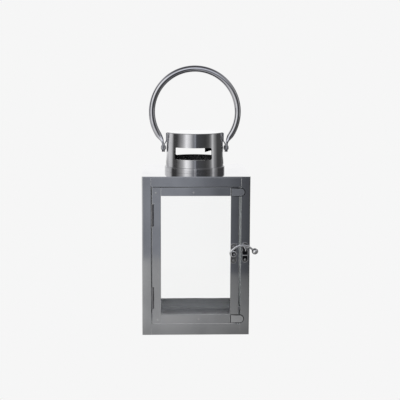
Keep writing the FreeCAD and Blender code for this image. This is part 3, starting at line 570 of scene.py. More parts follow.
class Piece:
    """One visible piece: closed surfaces gathered into a mesh that rides on a body."""

    def __init__(self, name: str, body: Body, slot: Slot, finish: Finish, *stands_for: str) -> None:
        """Start a piece.

        Args:
            name: the object's name.
            body: the body that it rides on.
            slot: the record's material slot; kept, but not used.
            finish: what it is made of.
            stands_for: CAD nodes that it replaces.
        """
        self.name, self.body, self.slot, self.finish = name, body, slot, finish
        self.stands_for = stands_for
        self.points: list[Array] = []
        self.faces: list[list[int]] = []
        self.wear: list[Array] = []
        self.count = 0

    def add(self, rows: Array, around: bool = True, along: bool = False, caps: bool = True,
            wear: Any = 1.0) -> "Piece":
        """Add a grid of points as quads.

        Args:
            rows: stations x points x 3, in millimetres.
            around: close each row.
            along: join the last row to the first.
            caps: close the two ends with a face each.
            wear: how far it is rubbed bright, 0 to 1, where low values also stand for painted shade, as one value,
                one for each row or one for each point.

        Returns:
            This piece.
        """
        m, n = rows.shape[:2]
        rubbed = np.asarray(wear, float)
        self.wear.append(np.broadcast_to(rubbed[:, None] if rubbed.ndim == 1 else rubbed, (m, n)).ravel())
        index = np.arange(m * n).reshape(m, n) + self.count
        first, last = index[0, ::-1].tolist(), index[-1].tolist()
        if around:
            index = np.hstack([index, index[:, :1]])
        if along:
            index = np.vstack([index, index[:1]])
        quads = np.stack([index[:-1, :-1], index[:-1, 1:], index[1:, 1:], index[1:, :-1]], -1)
        self.faces += quads.reshape(-1, 4).tolist()
        if caps and not along:
            self.faces += [first, last]
        self.points.append(rows.reshape(-1, 3))
        self.count += m * n
        return self

    def build(self, sharp: float = 38.0, reshape: Callable[[bpy.types.Object], None] | None = None
              ) -> bpy.types.Object:
        """Weld the surfaces, turn their faces outwards and place the piece.

        Args:
            sharp: angle in degrees above which an edge stays crisp.
            reshape: last change to the object before it is placed.

        Returns:
            The object.
        """
        mesh = bpy.data.meshes.new(self.name)
        mesh.from_pydata((np.concatenate(self.points) * MM).tolist(), [], self.faces)
        mesh.attributes.new("wear", "FLOAT", "POINT").data.foreach_set(
            "value", np.concatenate(self.wear).astype(np.float32))
        work = bmesh.new()
        work.from_mesh(mesh)
        bmesh.ops.remove_doubles(work, verts=work.verts, dist=2e-6)
        bmesh.ops.dissolve_degenerate(work, edges=work.edges, dist=1e-7)
        bmesh.ops.recalc_face_normals(work, faces=work.faces)
        work.to_mesh(mesh)
        work.free()
        made = linked(self.name, mesh)
        if reshape:
            reshape(made)
        made.data.shade_smooth()
        made.data.set_sharp_from_angle(angle=math.radians(sharp))
        flats = made.modifiers.new("Flats", "WEIGHTED_NORMAL")
        flats.keep_sharp, flats.weight = True, 90
        made.data.materials.append(material_of(self.finish))
        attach(made, self.body.value)
        if self.stands_for:
            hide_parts(*self.stands_for)
        log.info("%s: %d faces on %s", self.name, len(made.data.polygons), self.body.value)
        return made


def dress(node: str, finish: Finish) -> None:
    """Give a CAD node that stays in view its finish.

    Args:
        node: the CAD node.
        finish: what it is made of.
    """
    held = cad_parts[node]
    if not held.material_slots:
        held.data.materials.append(None)
    for place in held.material_slots:
        place.material = material_of(finish)
    log.info("%s: kept from the frame", node)


# ---------------------------------------------------------------- case


@dataclass
class Case:
    """Posts, rails, roof, floor, panes and solder of the square body, in millimetres."""

    half: float = 55.0
    height: float = 164.6
    sheet: float = 0.8
    flange: float = 9.1
    bend: float = 1.2
    crease: float = 0.45
    top_rail: float = 10.5
    bottom_rail: float = 11.3
    rail_bend: float = 0.5
    shelf: float = 9.0
    ragged: float = 0.22
    seam: float = 0.15
    flue: float = 28.5
    droop: float = 0.05
    edge: float = 0.16
    bead: float = 0.24
    bead_depth: float = 0.34
    bead_proud: tuple[float, ...] = (0.12, 0.0, 0.0, 0.12)

    def post(self, end: Side, side: Side) -> None:
        """L strip with a bent outer corner, carried up from the base to the roof plate.

        Args:
            end: front or back.
            side: left or right.
        """
        out, near, far = self.half, self.half - self.sheet, self.half - self.flange
        outline = rounded([(out, out), (far, out), (far, near), (near, near), (near, far), (out, far)],
                          [self.bend, self.edge, self.edge, self.crease, self.edge, self.edge], 5)
        z = np.linspace(0, self.height - self.sheet, 84)[:, None]
        seed = 10 + side.sign + 3 * end.sign
        x = side.sign * (outline[:, 0] - wander(z, seed))
        y = end.sign * (outline[:, 1] - wander(z, seed + 40))
        # The back right post's inner faces are painted lighter: painted light from the right.
        finish = SATIN_PAINTED_LIGHT if (end, side) == (Side.BACK, Side.RIGHT) else SATIN
        Piece(f"post_{end}_{side}", Body.CASE, Slot.CASE, finish, f"corner_post_{end}_{side}").add(
            points(x, y, z)).build()

    def rail(self, level: Level, side: Side) -> None:
        """L strip between two posts: a wall and a shelf, carried along the side.

        The free edge of the wall wanders a little in height as hand-cut strip does.

        Args:
            level: top or bottom.
            side: side of the case.
        """
        top = level is Level.TOP
        out, near, deep = self.half, self.half - self.sheet, self.half - self.shelf
        if top:
            roof, low = self.height - self.sheet, self.height - self.top_rail
            corners = [(out, roof), (out, low), (near, low), (near, roof - self.sheet),
                       (deep, roof - self.sheet), (deep, roof)]
        else:
            corners = [(out, 0), (out, self.bottom_rail), (near, self.bottom_rail), (near, 2 * self.sheet),
                       (deep, 2 * self.sheet), (deep, self.sheet), (near, self.sheet), (near, 0)]
        radii = [self.rail_bend if top and k == 0 else self.edge for k in range(len(corners))]
        reach, height = rounded(corners, radii).T
        end = self.half - self.flange - self.seam
        along = np.linspace(-end, end, 60)[:, None]
        seed = 100 + 10 * top + list(Side).index(side)
        free = -1 if top else 1
        lift = wander(along, seed + 7, self.ragged) - self.ragged / 2
        high = height - free * lift * (height * free > corners[1][1] * free - 1.0)
        # The back bottom rail's inner face is painted lighter: painted light.
        finish = SATIN_BACK_PAINTED_LIGHT if (level, side) == (Level.BOTTOM, Side.BACK) else SATIN_FLAT
        Piece(f"rail_{level}_{side}", Body.CASE, Slot.CASE, finish, f"{level}_rail_{side}").add(
            side.lay(along, reach - wander(along, seed), high)).build()

    def roof(self) -> None:
        """Roof plate: a plane ring from the round flue hole to the rounded square edge.

        At angle a and share t a point is (1-t) * hole(a) + t * square(a); the section runs over the
        top, which droops a little, round the outer edge, back under and up the hole's wall.
        """
        square = self.half * np.array([(1, 1), (-1, 1), (-1, -1), (1, -1)])
        outline = rounded(square, [self.bend] * 4, 10)
        ring = resampled(np.vstack([outline, outline[:1]]), 257)[:-1]
        angle = np.arctan2(ring[:, 1], ring[:, 0])
        hole = self.flue * circle(angle)
        share = np.linspace(0, 1, 22)
        shares = np.concatenate([share, share[::-1]])[:, None]
        over = np.repeat([1, 0], len(share))[:, None]
        droop = over * self.droop * np.sin(math.pi * shares) * np.cos(3 * angle) ** 2
        plan = hole + shares[..., None] * (ring - hole)
        Piece("roof", Body.CASE, Slot.MIRROR, MIRROR, "roof_plate").add(
            np.dstack([plan, self.height - self.sheet * (1 - over) - droop]), along=True).build(30.0)

    def solder(self) -> None:
        """Beads of solder in the open seams between rails and posts: thin wavy half-sunk rods."""
        piece = Piece("solder_seams", Body.CASE, Slot.CASE, SOLDER)
        seam = self.half - self.flange - self.seam / 2
        spans = ((0.5, self.bottom_rail - 0.3),
                 (self.height - self.top_rail + 0.3, self.height - self.sheet - 0.3))
        taper = np.sqrt(np.clip(1 - np.linspace(-1, 1, 26) ** 8, 0.02, 1))
        draw = np.random.default_rng(5)
        for wall, proud in zip(Side, self.bead_proud):
            for way in (-1, 1):
                for span in spans:
                    z = np.linspace(*span, len(taper))
                    size = self.bead + 0.05 * np.sin(z * 2.1 + draw.uniform(0, 6)) + 0.03 * np.sin(z * 5.3)
                    sway = way * seam + 0.1 * np.sin(z * 1.3 + draw.uniform(0, 6))
                    size = size * taper
                    piece.add(swept(wall.lay(sway, self.half + proud - self.bead_depth, z),
                                    wall.lay(1.0, 0.0, 0.0), size + 0.04, size, size * 0.98, 3))
        piece.build()

    def build(self) -> None:
        """Build the case from its posts up."""
        for end in (Side.FRONT, Side.BACK):
            for side in (Side.LEFT, Side.RIGHT):
                self.post(end, side)
        for side in Side:
            for level in Level:
                self.rail(level, side)
        self.roof()
        self.solder()
        dress("floor_plate", FLOOR)
        for side, finish in ((Side.LEFT, GLASS_X), (Side.RIGHT, GLASS_X), (Side.BACK, GLASS_Y)):
            dress(f"glass_{side}", finish)
            dress(f"glass_clips_{side}", ROLLED)


# ---------------------------------------------------------------- door


@dataclass
class Door:
    """Glazed door: stiles, rails, stop tabs, weld marks and pane, in millimetres."""

    left: float = -44.8
    right: float = 43.7
    low: float = 12.3
    high: float = 153.1
    front: float = -55.0
    sheet: float = 0.8
    flange: float = 5.0
    stile_left: float = 9.0
    stile_right: float = 8.5
    rail_top: float = 8.3
    rail_bottom: float = 9.0
    reach_top: float = 0.56
    reach_bottom: float = 0.5
    bend: float = 0.4
    crease: float = 0.3
    ragged: float = 0.2
    overrun_low: float = 0.3
    overrun_high: float = 0.4
    # Depth behind the front from which a flange's outer face is painted black as shade.
    dark_from: float = 0.12
    seam: float = 0.15
    notch: float = 2.0
    hinge_half: float = 11.8
    hinges: tuple[float, float] = (39.0, 125.0)
    tab_lap: float = 8.1
    tab_length: float = 14.2
    tab_height: float = 8.9
    tab_roll: float = 0.7
    tab_hub: float = 2.0
    # Wear value of each ring of a stop tab; the zeros paint its outer edge black as a shadow line round the tab.
    tab_outline_shade: tuple[float, ...] = (1.0, 0.8, 0.0, 0.0, 0.0, 0.0, 0.0, 0.3, 1.0, 1.0)
    edge: float = 0.16
    weld: tuple[tuple[float, float], ...] = (
        (0.95, -0.06), (0.9, 0.04), (0.7, 0.09), (0.5, 0.03), (0.3, 0.08), (0.0, 0.11))
    weld_places: tuple[tuple[float, float], ...] = ((-40.7, 148.0), (-2.6, 148.3), (3.1, 16.4), (-39.0, 16.0))

    def strip(self, width: float) -> Array:
        """Section of an L strip: how far in from the door's outer edge its outline lies, and how deep."""
        back, deep = self.front + self.sheet, self.front + self.flange
        return rounded([(0, self.front), (width, self.front), (width, back), (self.sheet, back),
                        (self.sheet, deep), (0, deep)],
                       [self.bend, self.edge, self.edge, self.crease, self.edge, self.edge]).T

    def wear(self, inward: Array, depth: Array) -> Array:
        """Wear value: none on the flange's outer face, which lies in the gap round the door and is painted black
        there as shade, and full elsewhere.
        """
        return 1.0 - ((inward < 0.05) & (depth > self.front + self.dark_from))

    def stile(self, side: Side) -> None:
        """L strip carried up the door; the hinge stile is cut back to a plain strip at each barrel.

        Args:
            side: left or right.
        """
        edge, width = (self.left, self.stile_left) if side is Side.LEFT else (self.right, self.stile_right)
        inward, depth = self.strip(width)
        cuts = [mid + way * self.hinge_half + step for mid in self.hinges for way in (-1, 1)
                for step in (-1e-4, 1e-4)]
        z = np.sort(np.append(np.linspace(self.low - self.overrun_low, self.high + self.overrun_high, 60),
                              cuts))[:, None]
        notched = (np.abs(z - self.hinges) < self.hinge_half).any(1, keepdims=True) & (side is Side.LEFT)
        inward = np.where(notched, np.maximum(inward, self.notch), inward)
        depth = np.where(notched, np.minimum(depth, self.front + self.sheet), depth)
        rows = points(edge - side.sign * inward, depth + wander(z, 61 - side.sign), z)
        Piece(f"stile_{side}", Body.DOOR, Slot.CASE, DOOR_UP, f"door_stile_{side}").add(
            rows, wear=self.wear(inward, depth)).build()

    def rail(self, level: Level) -> None:
        """L strip between the stiles, its flange turned inwards at the door's outer edge.

        The outer edge reaches out towards the case's rail by an amount that wanders along it, and
        the flange alone runs on behind the stiles.

        Args:
            level: top or bottom.
        """
        sign, edge, width, reach = ((-1, self.high, self.rail_top, self.reach_top) if level is Level.TOP
                                    else (1, self.low, self.rail_bottom, self.reach_bottom))
        inward, depth = self.strip(width)
        wear = self.wear(inward, depth)[None]
        inner = self.left + self.stile_left + self.seam, self.right - self.stile_right - self.seam
        outer = self.left + self.sheet + self.seam, self.right - self.sheet - self.seam
        x = np.concatenate([[outer[0], inner[0] - 1e-4], np.linspace(*inner, 50),
                            [inner[1] + 1e-4, outer[1]]])[:, None]
        behind = (x < inner[0]) | (x > inner[1])
        depth = np.where(behind, np.maximum(depth, self.front + self.sheet + self.seam), depth)
        inward = np.where(behind, np.minimum(inward, self.sheet), inward)
        stretch = (reach - wander(x, 90 + sign, self.ragged)) * (inward < 1.5 * self.sheet)
        rows = points(x, depth + wander(x, 80 + sign), edge + sign * (inward - stretch))
        Piece(f"door_rail_{level}_strip", Body.DOOR, Slot.CASE, DOOR_ACROSS, f"door_rail_{level}").add(
            rows, wear=wear).build()

    def stop_tab(self, level: Level) -> None:
        """Strip with one round end, its front edge rolled over.

        The outline is a box joined to a half circle; it is carried forward, then drawn in by a
        quarter circle and closed flat.

        Args:
            level: top or bottom.
        """
        half = self.tab_height / 2
        start = self.right - self.tab_lap
        centre = start + self.tab_length - half
        middle = self.high - half if level is Level.TOP else self.low + half
        end = (centre, middle) + half * circle(np.linspace(-QUARTER, QUARTER, 25))
        straight = points(np.linspace(centre, start, 8)[1:], middle + half)
        outline = np.vstack([end, straight, straight[::-1] - (0, self.tab_height)])
        hub = np.array([(start + centre) / 2 + self.tab_hub, middle])
        face = self.front - self.sheet
        roll = self.tab_roll * (1 - circle(np.linspace(0, QUARTER, 5)))
        inset = np.concatenate([[1.2, 0.3, 0.0], roll[:, 0], [1.1, 2.2]])[:, None]
        depth = np.concatenate([[self.front - 0.01] * 3, face + roll[:, 1], [face, face]])[:, None]
        arm = outline - hub
        plan = hub + arm * (1 - inset / np.linalg.norm(arm, axis=1))[..., None]
        Piece(f"stop_tab_{level}", Body.DOOR, Slot.CASE, TAB, f"door_stop_tab_{level}").add(
            upright(plan, depth), wear=self.tab_outline_shade).build()

    def welds(self) -> None:
        """Spot-weld marks: small raised rims round a shallow pip, turned about the face's normal."""
        piece = Piece("spot_welds", Body.DOOR, Slot.CASE, SOLDER)
        for x, z in self.weld_places:
            piece.add(turned(self.weld, (x, self.front + 0.02, z), (0, -1, 0), 20))
        piece.build(60.0)

    def build(self) -> None:
        """Build the door's frame and dress its pane."""
        for side in (Side.LEFT, Side.RIGHT):
            self.stile(side)
        for level in Level:
            self.rail(level)
            self.stop_tab(level)
        self.welds()
        dress("door_glass", GLASS_Y)
        dress("door_glass_clips", ROLLED)


@dataclass
class Hinge:
    """Barrel hinge of two rolled leaves and a pin, in millimetres and degrees."""

    tag: str
    middle: float
    axis: tuple[float, float] = (-44.5, -55.2)
    length: float = 23.0
    gap: float = 0.2
    wall: float = 0.5
    barrel: float = 1.1
    bend: float = 0.45
    wrap: float = 318.0
    pin: float = 0.55
    pin_tip: float = 0.12
    leaf: float = 6.0
    leaf_y: float = -53.95

    def ribbon(self, way: int, line: Array) -> Array:
        """Closed outline of the sheet in plan: its middle line moved half a wall to each side.

        Args:
            way: -1 for the leaf on the case, 1 for the leaf on the door.
            line: the middle line, seen from the pin.

        Returns:
            The outline.
        """
        side = unit(np.gradient(line, axis=0))[:, ::-1] * (-1, 1) * self.wall / 2
        return np.vstack([line + side, (line - side)[::-1]]) * (-way, 1) + self.axis

    def build(self) -> None:
        """Build both leaves with their knuckles, and the pin.

        The sheet's middle line runs along the leaf, turns forward through a small bend and wraps
        round the pin.
        """
        low, high = self.middle - self.length / 2, self.middle + self.length / 2
        radius, flat = self.barrel - self.wall / 2, self.leaf_y - self.axis[1]
        leaf = np.array([[-radius - self.leaf - 0.25, flat], [-radius - 0.12, flat]])
        elbow = (-radius - self.bend, flat - self.bend) + self.bend * circle(np.linspace(QUARTER, 0, 7))
        turn = np.linspace(0, math.radians(self.wrap), 40)
        knuckle = np.vstack([elbow, radius * circle(math.pi + turn)])
        first, last = low + self.length / 3, high - self.length / 3
        half = self.gap / 2
        for way, body, place, spans in ((-1, Body.CASE, "frame", [(low, first - half), (last + half, high)]),
                                        (1, Body.DOOR, "door", [(first + half, last - half)])):
            piece = Piece(f"hinge_{self.tag}_{place}", body, Slot.HINGE, ROLLED,
                          f"hinge_leaf_{place}_{self.tag}")
            for line, span in [(leaf, (low, high)), *((knuckle, span) for span in spans)]:
                piece.add(points(*self.ribbon(way, line).T, np.array(span)[:, None]))
            piece.build()
        shape = [(0, 0), (self.pin * 0.7, 0.02), (self.pin, self.pin_tip), (self.pin, self.length - self.pin_tip),
                 (self.pin * 0.7, self.length - 0.02), (0, self.length)]
        Piece(f"hinge_{self.tag}_pin", Body.CASE, Slot.HINGE, SOLDER, f"hinge_pin_{self.tag}").add(
            turned(shape, (*self.axis, low), (0, 0, 1), 24)).build()


# ---------------------------------------------------------------- latch


@dataclass
class Latch:
    """Cast hook latch: two lobed plates, rivets, pivot, hook and staple, in millimetres and degrees."""

    x: float = 38.35
    z: float = 85.5
    catch_x: float = 50.1
    catch_rise: float = 1.0
    front: float = -55.0
    thick: float = 0.8
    lobe: float = 3.4
    belly: float = 4.1
    pitch: float = 7.4
    neck: float = 5.6
    rim: float = 0.45
    softness: float = 1.5
    plate_rivet: tuple[tuple[float, float], ...] = ((0.0, -0.8), (0.8, -0.8), (0.8, 0.72), (1.3, 0.76))
    rivet_head: tuple[float, float] = (1.4, 0.6)
    rivet_wear: float = 0.48
    hook_y: float = -58.5
    eye: float = 2.44
    eye_section: tuple[float, float, float] = (0.86, 0.95, 0.55)
    arm_centre: tuple[float, float] = (47.4, 80.95)
    arm_radius: float = 13.5
    arm_angles: tuple[float, float] = (31.0, 154.0)
    arm_half: float = 1.2
    arm_swell: float = 0.15
    arm_taper: float = 0.3
    arm_depth: float = 1.15
    ball: float = 3.29975
    ball_out: float = 1.1
    tooth: tuple[float, float] = (12.1, 7.2)
    tooth_drop: float = 4.5
    tooth_half: float = 0.68
    tooth_root: float = 2.2
    tooth_tip: float = 0.4
    tooth_lean: float = 0.35
    voxel: float = 0.16
    staple_wire: float = 0.6
    staple_bend: float = 0.7
    staple_y: float = -60.2
    staple_half: float = 2.4
    staple_z: float = 84.6
    # Wear over each plate, from its back edge round the rim to the middle; the catch plate's black middle is painted
    # shadow.
    rubbed: tuple[float, ...] = (0.9, 0.9, 0.95, 0.9, 0.75, 0.6, 0.5, 0.42, 0.4, 0.38, 0.36)
    catch_patina_and_shadow: tuple[float, ...] = (0.9, 0.9, 0.9, 0.85, 0.75, 0.6, 0.5, 0.45, 0.42, 0.1, 0.0)

    def plate(self, name: str, spot: tuple[float, float], body: Body, node: str, wear: Sequence[float]) -> None:
        """Cast plate of three soft lobes.

        The outline's reach from the middle at an angle is the farthest exit from three discs and a
        neck, smoothed round the circle; it is drawn in and forward over a soft rim.

        Args:
            name: the piece's name.
            spot: middle across and in height.
            body: body that it rides on.
            node: CAD node that it replaces.
            wear: wear of each ring, from the back edge to the middle; black where it is low, real oxide on the latch
                plate and painted shadow in the catch plate's middle.
        """
        ring = circle(np.linspace(0, TAU, 120, endpoint=False))
        cos, sin = np.abs(ring).T
        off = self.lobe ** 2 - (self.pitch * cos) ** 2
        lobes = np.where(off > 0, self.pitch * sin + np.sqrt(np.maximum(off, 0)), 0)
        with np.errstate(divide="ignore"):
            neck = np.minimum(self.neck / 2 / cos, self.pitch / sin)
        kernel = np.exp(-0.5 * (np.arange(-4, 5) / self.softness) ** 2)
        reach = np.convolve(np.pad(np.maximum(np.maximum(lobes, neck), self.belly), 4, "wrap"),
                            kernel / kernel.sum(), "valid")
        roll = self.rim * circle(np.linspace(0, QUARTER, 6))
        inset = np.concatenate([[0.0], self.rim - roll[:, 0], [0.75, 1.2, 2.4, 3.9]])[:, None]
        rise = np.concatenate([[0.0], self.thick - self.rim + roll[:, 1],
                               self.thick - np.array([0.06, 0.16, 0.14, 0.05])])[:, None]
        plan = spot + (reach - inset)[..., None] * ring
        Piece(name, body, Slot.CAST, CAST, node).add(upright(plan, self.front - rise), wear=wear).build(50.0)

    def rivets(self, name: str, spot: tuple[float, float], body: Body, node: str) -> None:
        """Two small domed rivets with their shanks, turned about the face's normal.

        Args:
            name: the piece's name.
            spot: middle between them across and in height.
            body: body that they ride on.
            node: CAD node that they replace.
        """
        piece = Piece(name, body, Slot.CAST, CAST, node)
        radius, height = self.rivet_head
        shape = np.vstack([self.plate_rivet, dome(radius, self.thick, self.thick + height)])
        for way in (-1, 1):
            centre = (spot[0], self.front, spot[1] + way * self.pitch)
            piece.add(turned(shape, centre, (0, -1, 0), 28), wear=self.rivet_wear)
        piece.build(50.0)

    def pivot(self) -> None:
        """Pivot: shank, boss on the plate, and a domed peened head with a soft dimple."""
        shape = [(0, -0.8), (1.5, -0.8), (1.5, 0.78), (2.3, 0.8), (2.6, 1.0), (2.6, 2.2), (2.4, 2.4), (1.5, 2.42),
                 (1.5, 4.58), (1.75, 4.6), (2.0, 4.8), (1.95, 5.1), (1.7, 5.35), (1.3, 5.48), (0.8, 5.5),
                 (0.35, 5.42), (0, 5.38)]
        Piece("latch_pivot_pin", Body.DOOR, Slot.CAST, CAST, "latch_pivot").add(
            turned(shape, (self.x, self.front, self.z), (0, -1, 0), 40),
            wear=[0.2] * 10 + [0.1, 0.0, 0.0, 0.0, 0.8, 1.0, 1.0]).build(40.0)

    def fuse(self, made: bpy.types.Object) -> None:
        """Remesh a casting as one skin and relax it.

        Args:
            made: the casting.
        """
        for kind, settings in (("REMESH", {"mode": "VOXEL", "voxel_size": self.voxel * MM}),
                               ("SMOOTH", {"factor": 0.5, "iterations": 7})):
            step = made.modifiers.new(kind.title(), kind)
            for key, value in settings.items():
                setattr(step, key, value)
        whole = bpy.data.meshes.new_from_object(made.evaluated_get(bpy.context.evaluated_depsgraph_get()))
        made.modifiers.clear()
        made.data = whole

    def hook(self) -> None:
        """Cast hook: an eye, a tapering arm on an arc, a finger ball and a hanging tooth.

        The parts are closed surfaces; they are fused by a voxel remesh and smoothed, which leaves the
        soft fillets of a casting.
        """
        piece = Piece("hook_casting", Body.HOOK, Slot.CAST, HOOKED, "latch_hook")
        ring = section(*self.eye_section, 4)
        out = upright(circle(np.linspace(0, TAU, 48, endpoint=False)), 0.0)[:, None]
        piece.add((self.x, self.hook_y, self.z) + out * (self.eye + ring[..., :1])
                  + ring[..., 1:] * (0.0, 1.0, 0.0), along=True)
        finger, root = np.radians(self.arm_angles)
        share = np.linspace(0, 1, 60)
        path = self.arm_centre + self.arm_radius * circle(np.linspace(root, finger, 60))
        size = self.arm_half + self.arm_swell * ease(share / 0.45) - self.arm_taper * ease((share - 0.6) / 0.3)
        piece.add(swept(upright(path, self.hook_y), (0, 1, 0), size, np.minimum(size * 0.9, self.arm_depth),
                        np.minimum(size, self.arm_depth) * 0.84, 5))
        centre = self.arm_centre + (self.arm_radius + self.ball_out) * circle(finger)
        piece.add(turned(self.ball * circle(np.linspace(-QUARTER, QUARTER, 21)),
                         upright(centre, self.hook_y - 0.5), (0, -1, 0), 40))
        left = 1 - np.linspace(0, 1, 14)
        wide = self.tooth_root * left ** 2.5 + self.tooth_tip * (1 + left)
        path = points(self.x + self.tooth[0] + self.tooth_lean * left ** 2, self.hook_y,
                      self.z + self.tooth[1] - self.tooth_drop * (1 - left))
        piece.add(swept(path, (0, 1, 0), wide, self.tooth_half, np.minimum(wide, self.tooth_half) * 0.9, 4))
        piece.build(80.0, self.fuse)

    def staple(self) -> None:
        """U of bent wire: two legs into the plate and a bar, round-cornered, in a level plane."""
        corner = (-self.staple_half, self.staple_y) + self.staple_bend * (1 - circle(np.linspace(0, QUARTER, 8)))
        leg = np.vstack([(-self.staple_half, self.front - self.thick + 0.1), corner])
        plan = np.vstack([leg, leg[::-1] * (-1, 1)])
        path = resampled(points(self.catch_x + plan[:, 0], plan[:, 1], self.staple_z), 60)
        wire = self.staple_wire
        Piece("staple_wire", Body.CASE, Slot.CAST, CAST, "catch_staple").add(
            swept(path, (0, 0, 1), wire, wire, wire * 0.98, 4)).build(60.0)

    def build(self) -> None:
        """Build the latch from its plates forward."""
        spot, catch = (self.x, self.z), (self.catch_x, self.z + self.catch_rise)
        self.plate("latch_plate", spot, Body.DOOR, "latch_backplate", self.rubbed)
        self.plate("catch_plate_cast", catch, Body.CASE, "catch_plate", self.catch_patina_and_shadow)
        self.rivets("latch_rivets", spot, Body.DOOR, "latch_plate_rivets")
        self.rivets("catch_rivets", catch, Body.CASE, "catch_plate_rivets")
        self.pivot()
        self.hook()
        self.staple()


# ---------------------------------------------------------------- chimney and bail


@dataclass
class Chimney:
    """Tapered chimney with two slots, foot collar and closed lid, in millimetres."""

    foot: float = 164.6
    top: float = 204.8
    foot_radius: float = 30.6
    top_radius: float = 29.5
    wall: float = 0.7
    collar: float = 32.0
    collar_height: float = 5.1
    collar_lap: float = 0.22
    lid: float = 30.0
    lid_thick: float = 0.8
    lid_rim: float = 0.35
    lid_dish: float = 0.25
    dish_from: float = 1.2
    dish_run: float = 6.0
    front_slot: tuple[float, float] = (-21.2, 17.0)
    back_slot: tuple[float, float] = (-20.25, 20.25)
    slot_low: float = 178.3
    slot_high: float = 190.7
    slot_corner: float = 1.5
    mean_radius: float = 30.0
    border: float = 0.72
    tongue_across: tuple[float, float] = (12.2, 20.4)
    tongue_low: tuple[float, float] = (180.8, 183.6)
    tongue_depth: tuple[float, float] = (0.03, 0.4)

    def on_cone(self, angle: Any, z: Any, depth: float = 0.0) -> Array:
        """Points of the tube at an angle from the front and a height, by their depth under its skin."""
        r = self.foot_radius + (self.top_radius - self.foot_radius) * (z - self.foot) / (self.top - self.foot) - depth
        return points(r * np.sin(angle), -r * np.cos(angle), z)

    def slot_outline(self, left: float, right: float) -> Array:
        """Rounded outline of a slot in the plane of angle and height.

        Args:
            left: angle of the left edge.
            right: angle of the right edge.

        Returns:
            Points from the lower right corner round to the left, always the same count.
        """
        middle, half_z = (self.slot_low + self.slot_high) / 2, (self.slot_high - self.slot_low) / 2
        centre, half = (left + right) / 2, (right - left) / 2
        corner = self.slot_corner / self.mean_radius / math.cos(half)
        arcs = []
        for k, (a, b) in enumerate(((1, 1), (-1, 1), (-1, -1), (1, -1))):
            hub = (centre + a * (half - corner), middle + b * (half_z - self.slot_corner))
            turn = np.linspace(0, QUARTER, 7) + k * QUARTER
            arcs.append(hub + (corner, self.slot_corner) * circle(turn))
        parts = []
        for k, count in enumerate((10, 40, 10, 40)):
            t = np.linspace(0, 1, count + 2)[1:-1, None]
            parts += [arcs[k - 1][-1] * (1 - t) + arcs[k][0] * t, arcs[k]]
        return np.vstack(parts)

    def tube(self) -> None:
        """Tube wall round its slots.

        Half of the wall is a ring in the plane of angle and height: a point goes from the slot's
        rounded outline to the half's border, is drawn on the cone by x = r sin(a), y = -r cos(a), and
        the ring is closed over the slot's cut face and the inner surface.
        """
        piece = Piece("chimney_wall", Body.CASE, Slot.POLISHED, POLISHED, "chimney_tube")
        middle, half_z = (self.slot_low + self.slot_high) / 2, (self.slot_high - self.slot_low) / 2
        box = (self.slot_outline(-self.border, self.border) - (0, middle)) / (self.border, half_z)
        box = box / np.abs(box).max(1, keepdims=True)
        outer = points(box[:, 0] * QUARTER, middle + box[:, 1] * np.where(
            box[:, 1] > 0, self.top - middle, middle - self.foot))
        share = np.linspace(1, 0, 20)[:, None, None] ** 1.3
        across = -self.on_cone(0.0, middle)[1]
        for way, slot in ((1, self.front_slot), (-1, self.back_slot)):
            inner = self.slot_outline(*np.arcsin(np.array(slot) / across))
            angle, z = np.moveaxis(inner + share * (outer - inner), -1, 0)
            skin, lining = self.on_cone(angle, z), self.on_cone(angle, z, self.wall)
            piece.add(np.concatenate([skin, lining[::-1]]) * (way, way, 1), caps=False)
        for height in (self.top, self.foot):
            angle = np.sort(outer[np.abs(outer[:, 1] - height) < 1e-6, 0])
            ring = np.stack([self.on_cone(angle, height), self.on_cone(angle, height, self.wall)])
            for way in (1, -1):
                piece.add(ring * (way, way, 1), around=False, caps=False)
        piece.build(35.0)

    def tongue(self) -> None:
        """Small tongue of sheet, drawn black, left hanging in the back slot.

        Across its width the lower edge rises in a line; each section is a thin upright strip on the
        tube's cone, just inside its wall.
        """
        low, high = np.linspace(*self.tongue_low, 12), np.full(12, self.slot_high + 0.6)
        turn = np.arcsin(np.linspace(*self.tongue_across, 12) / self.mean_radius)
        near, far = self.tongue_depth
        rows = np.stack([self.on_cone(turn, z, self.wall + depth)
                         for depth, z in ((near, high), (near, low), (far, low), (far, high))], 1)
        Piece("slot_tongue", Body.CASE, Slot.POLISHED, CAST).add(rows * (1, -1, 1), wear=0.0).build()

    def foot_collar(self) -> None:
        """Collar strip bent round the foot, its ends lapped: a section carried round the axis.

        Along the lap the section eases outwards by part of its own thickness.
        """
        turn = np.linspace(0, TAU, 192, endpoint=False)[:, None]
        low, high = self.foot, self.foot + self.collar_height
        inner = self.foot_radius + 0.05
        r, z = rounded([(self.collar, low), (self.collar, high), (inner, high), (inner, low)],
                       [0.1, 0.45, 0.25, 0.1], 5).T
        r = r - self.collar_lap * ease((turn - 0.03) / 0.9) * (r > inner + 0.5)
        Piece("foot_collar", Body.CASE, Slot.POLISHED, COLLAR, "chimney_collar").add(
            points(r * np.sin(turn), -r * np.cos(turn), z), along=True).build(40.0)

    def cover(self) -> None:
        """Closed lid: a shallow dish turned about the axis, with a rolled rim."""
        low, high = self.top, self.top + self.lid_thick
        r = np.linspace(0, self.lid - 0.6, 24)
        dish = points(r, high - self.lid_dish * ease((self.lid - self.dish_from - r) / self.dish_run))
        roll = circle(np.linspace(QUARTER, -QUARTER, 9)[:-1])
        rim = (self.lid - self.lid_rim, high - self.lid_rim) + self.lid_rim * roll
        under = [(self.lid - self.lid_rim, low + 0.02), (self.lid - 0.5, low), (self.lid - 4, low), (15, low),
                 (0, low)]
        Piece("chimney_cover", Body.CASE, Slot.MIRROR, MIRROR, "chimney_lid").add(
            turned(np.vstack([dish, rim, under]), (0, 0, 0), (0, 0, 1), 160)).build(50.0)

    def build(self) -> None:
        """Build the tube, its collar and its lid."""
        self.tube()
        self.tongue()
        self.foot_collar()
        self.cover()


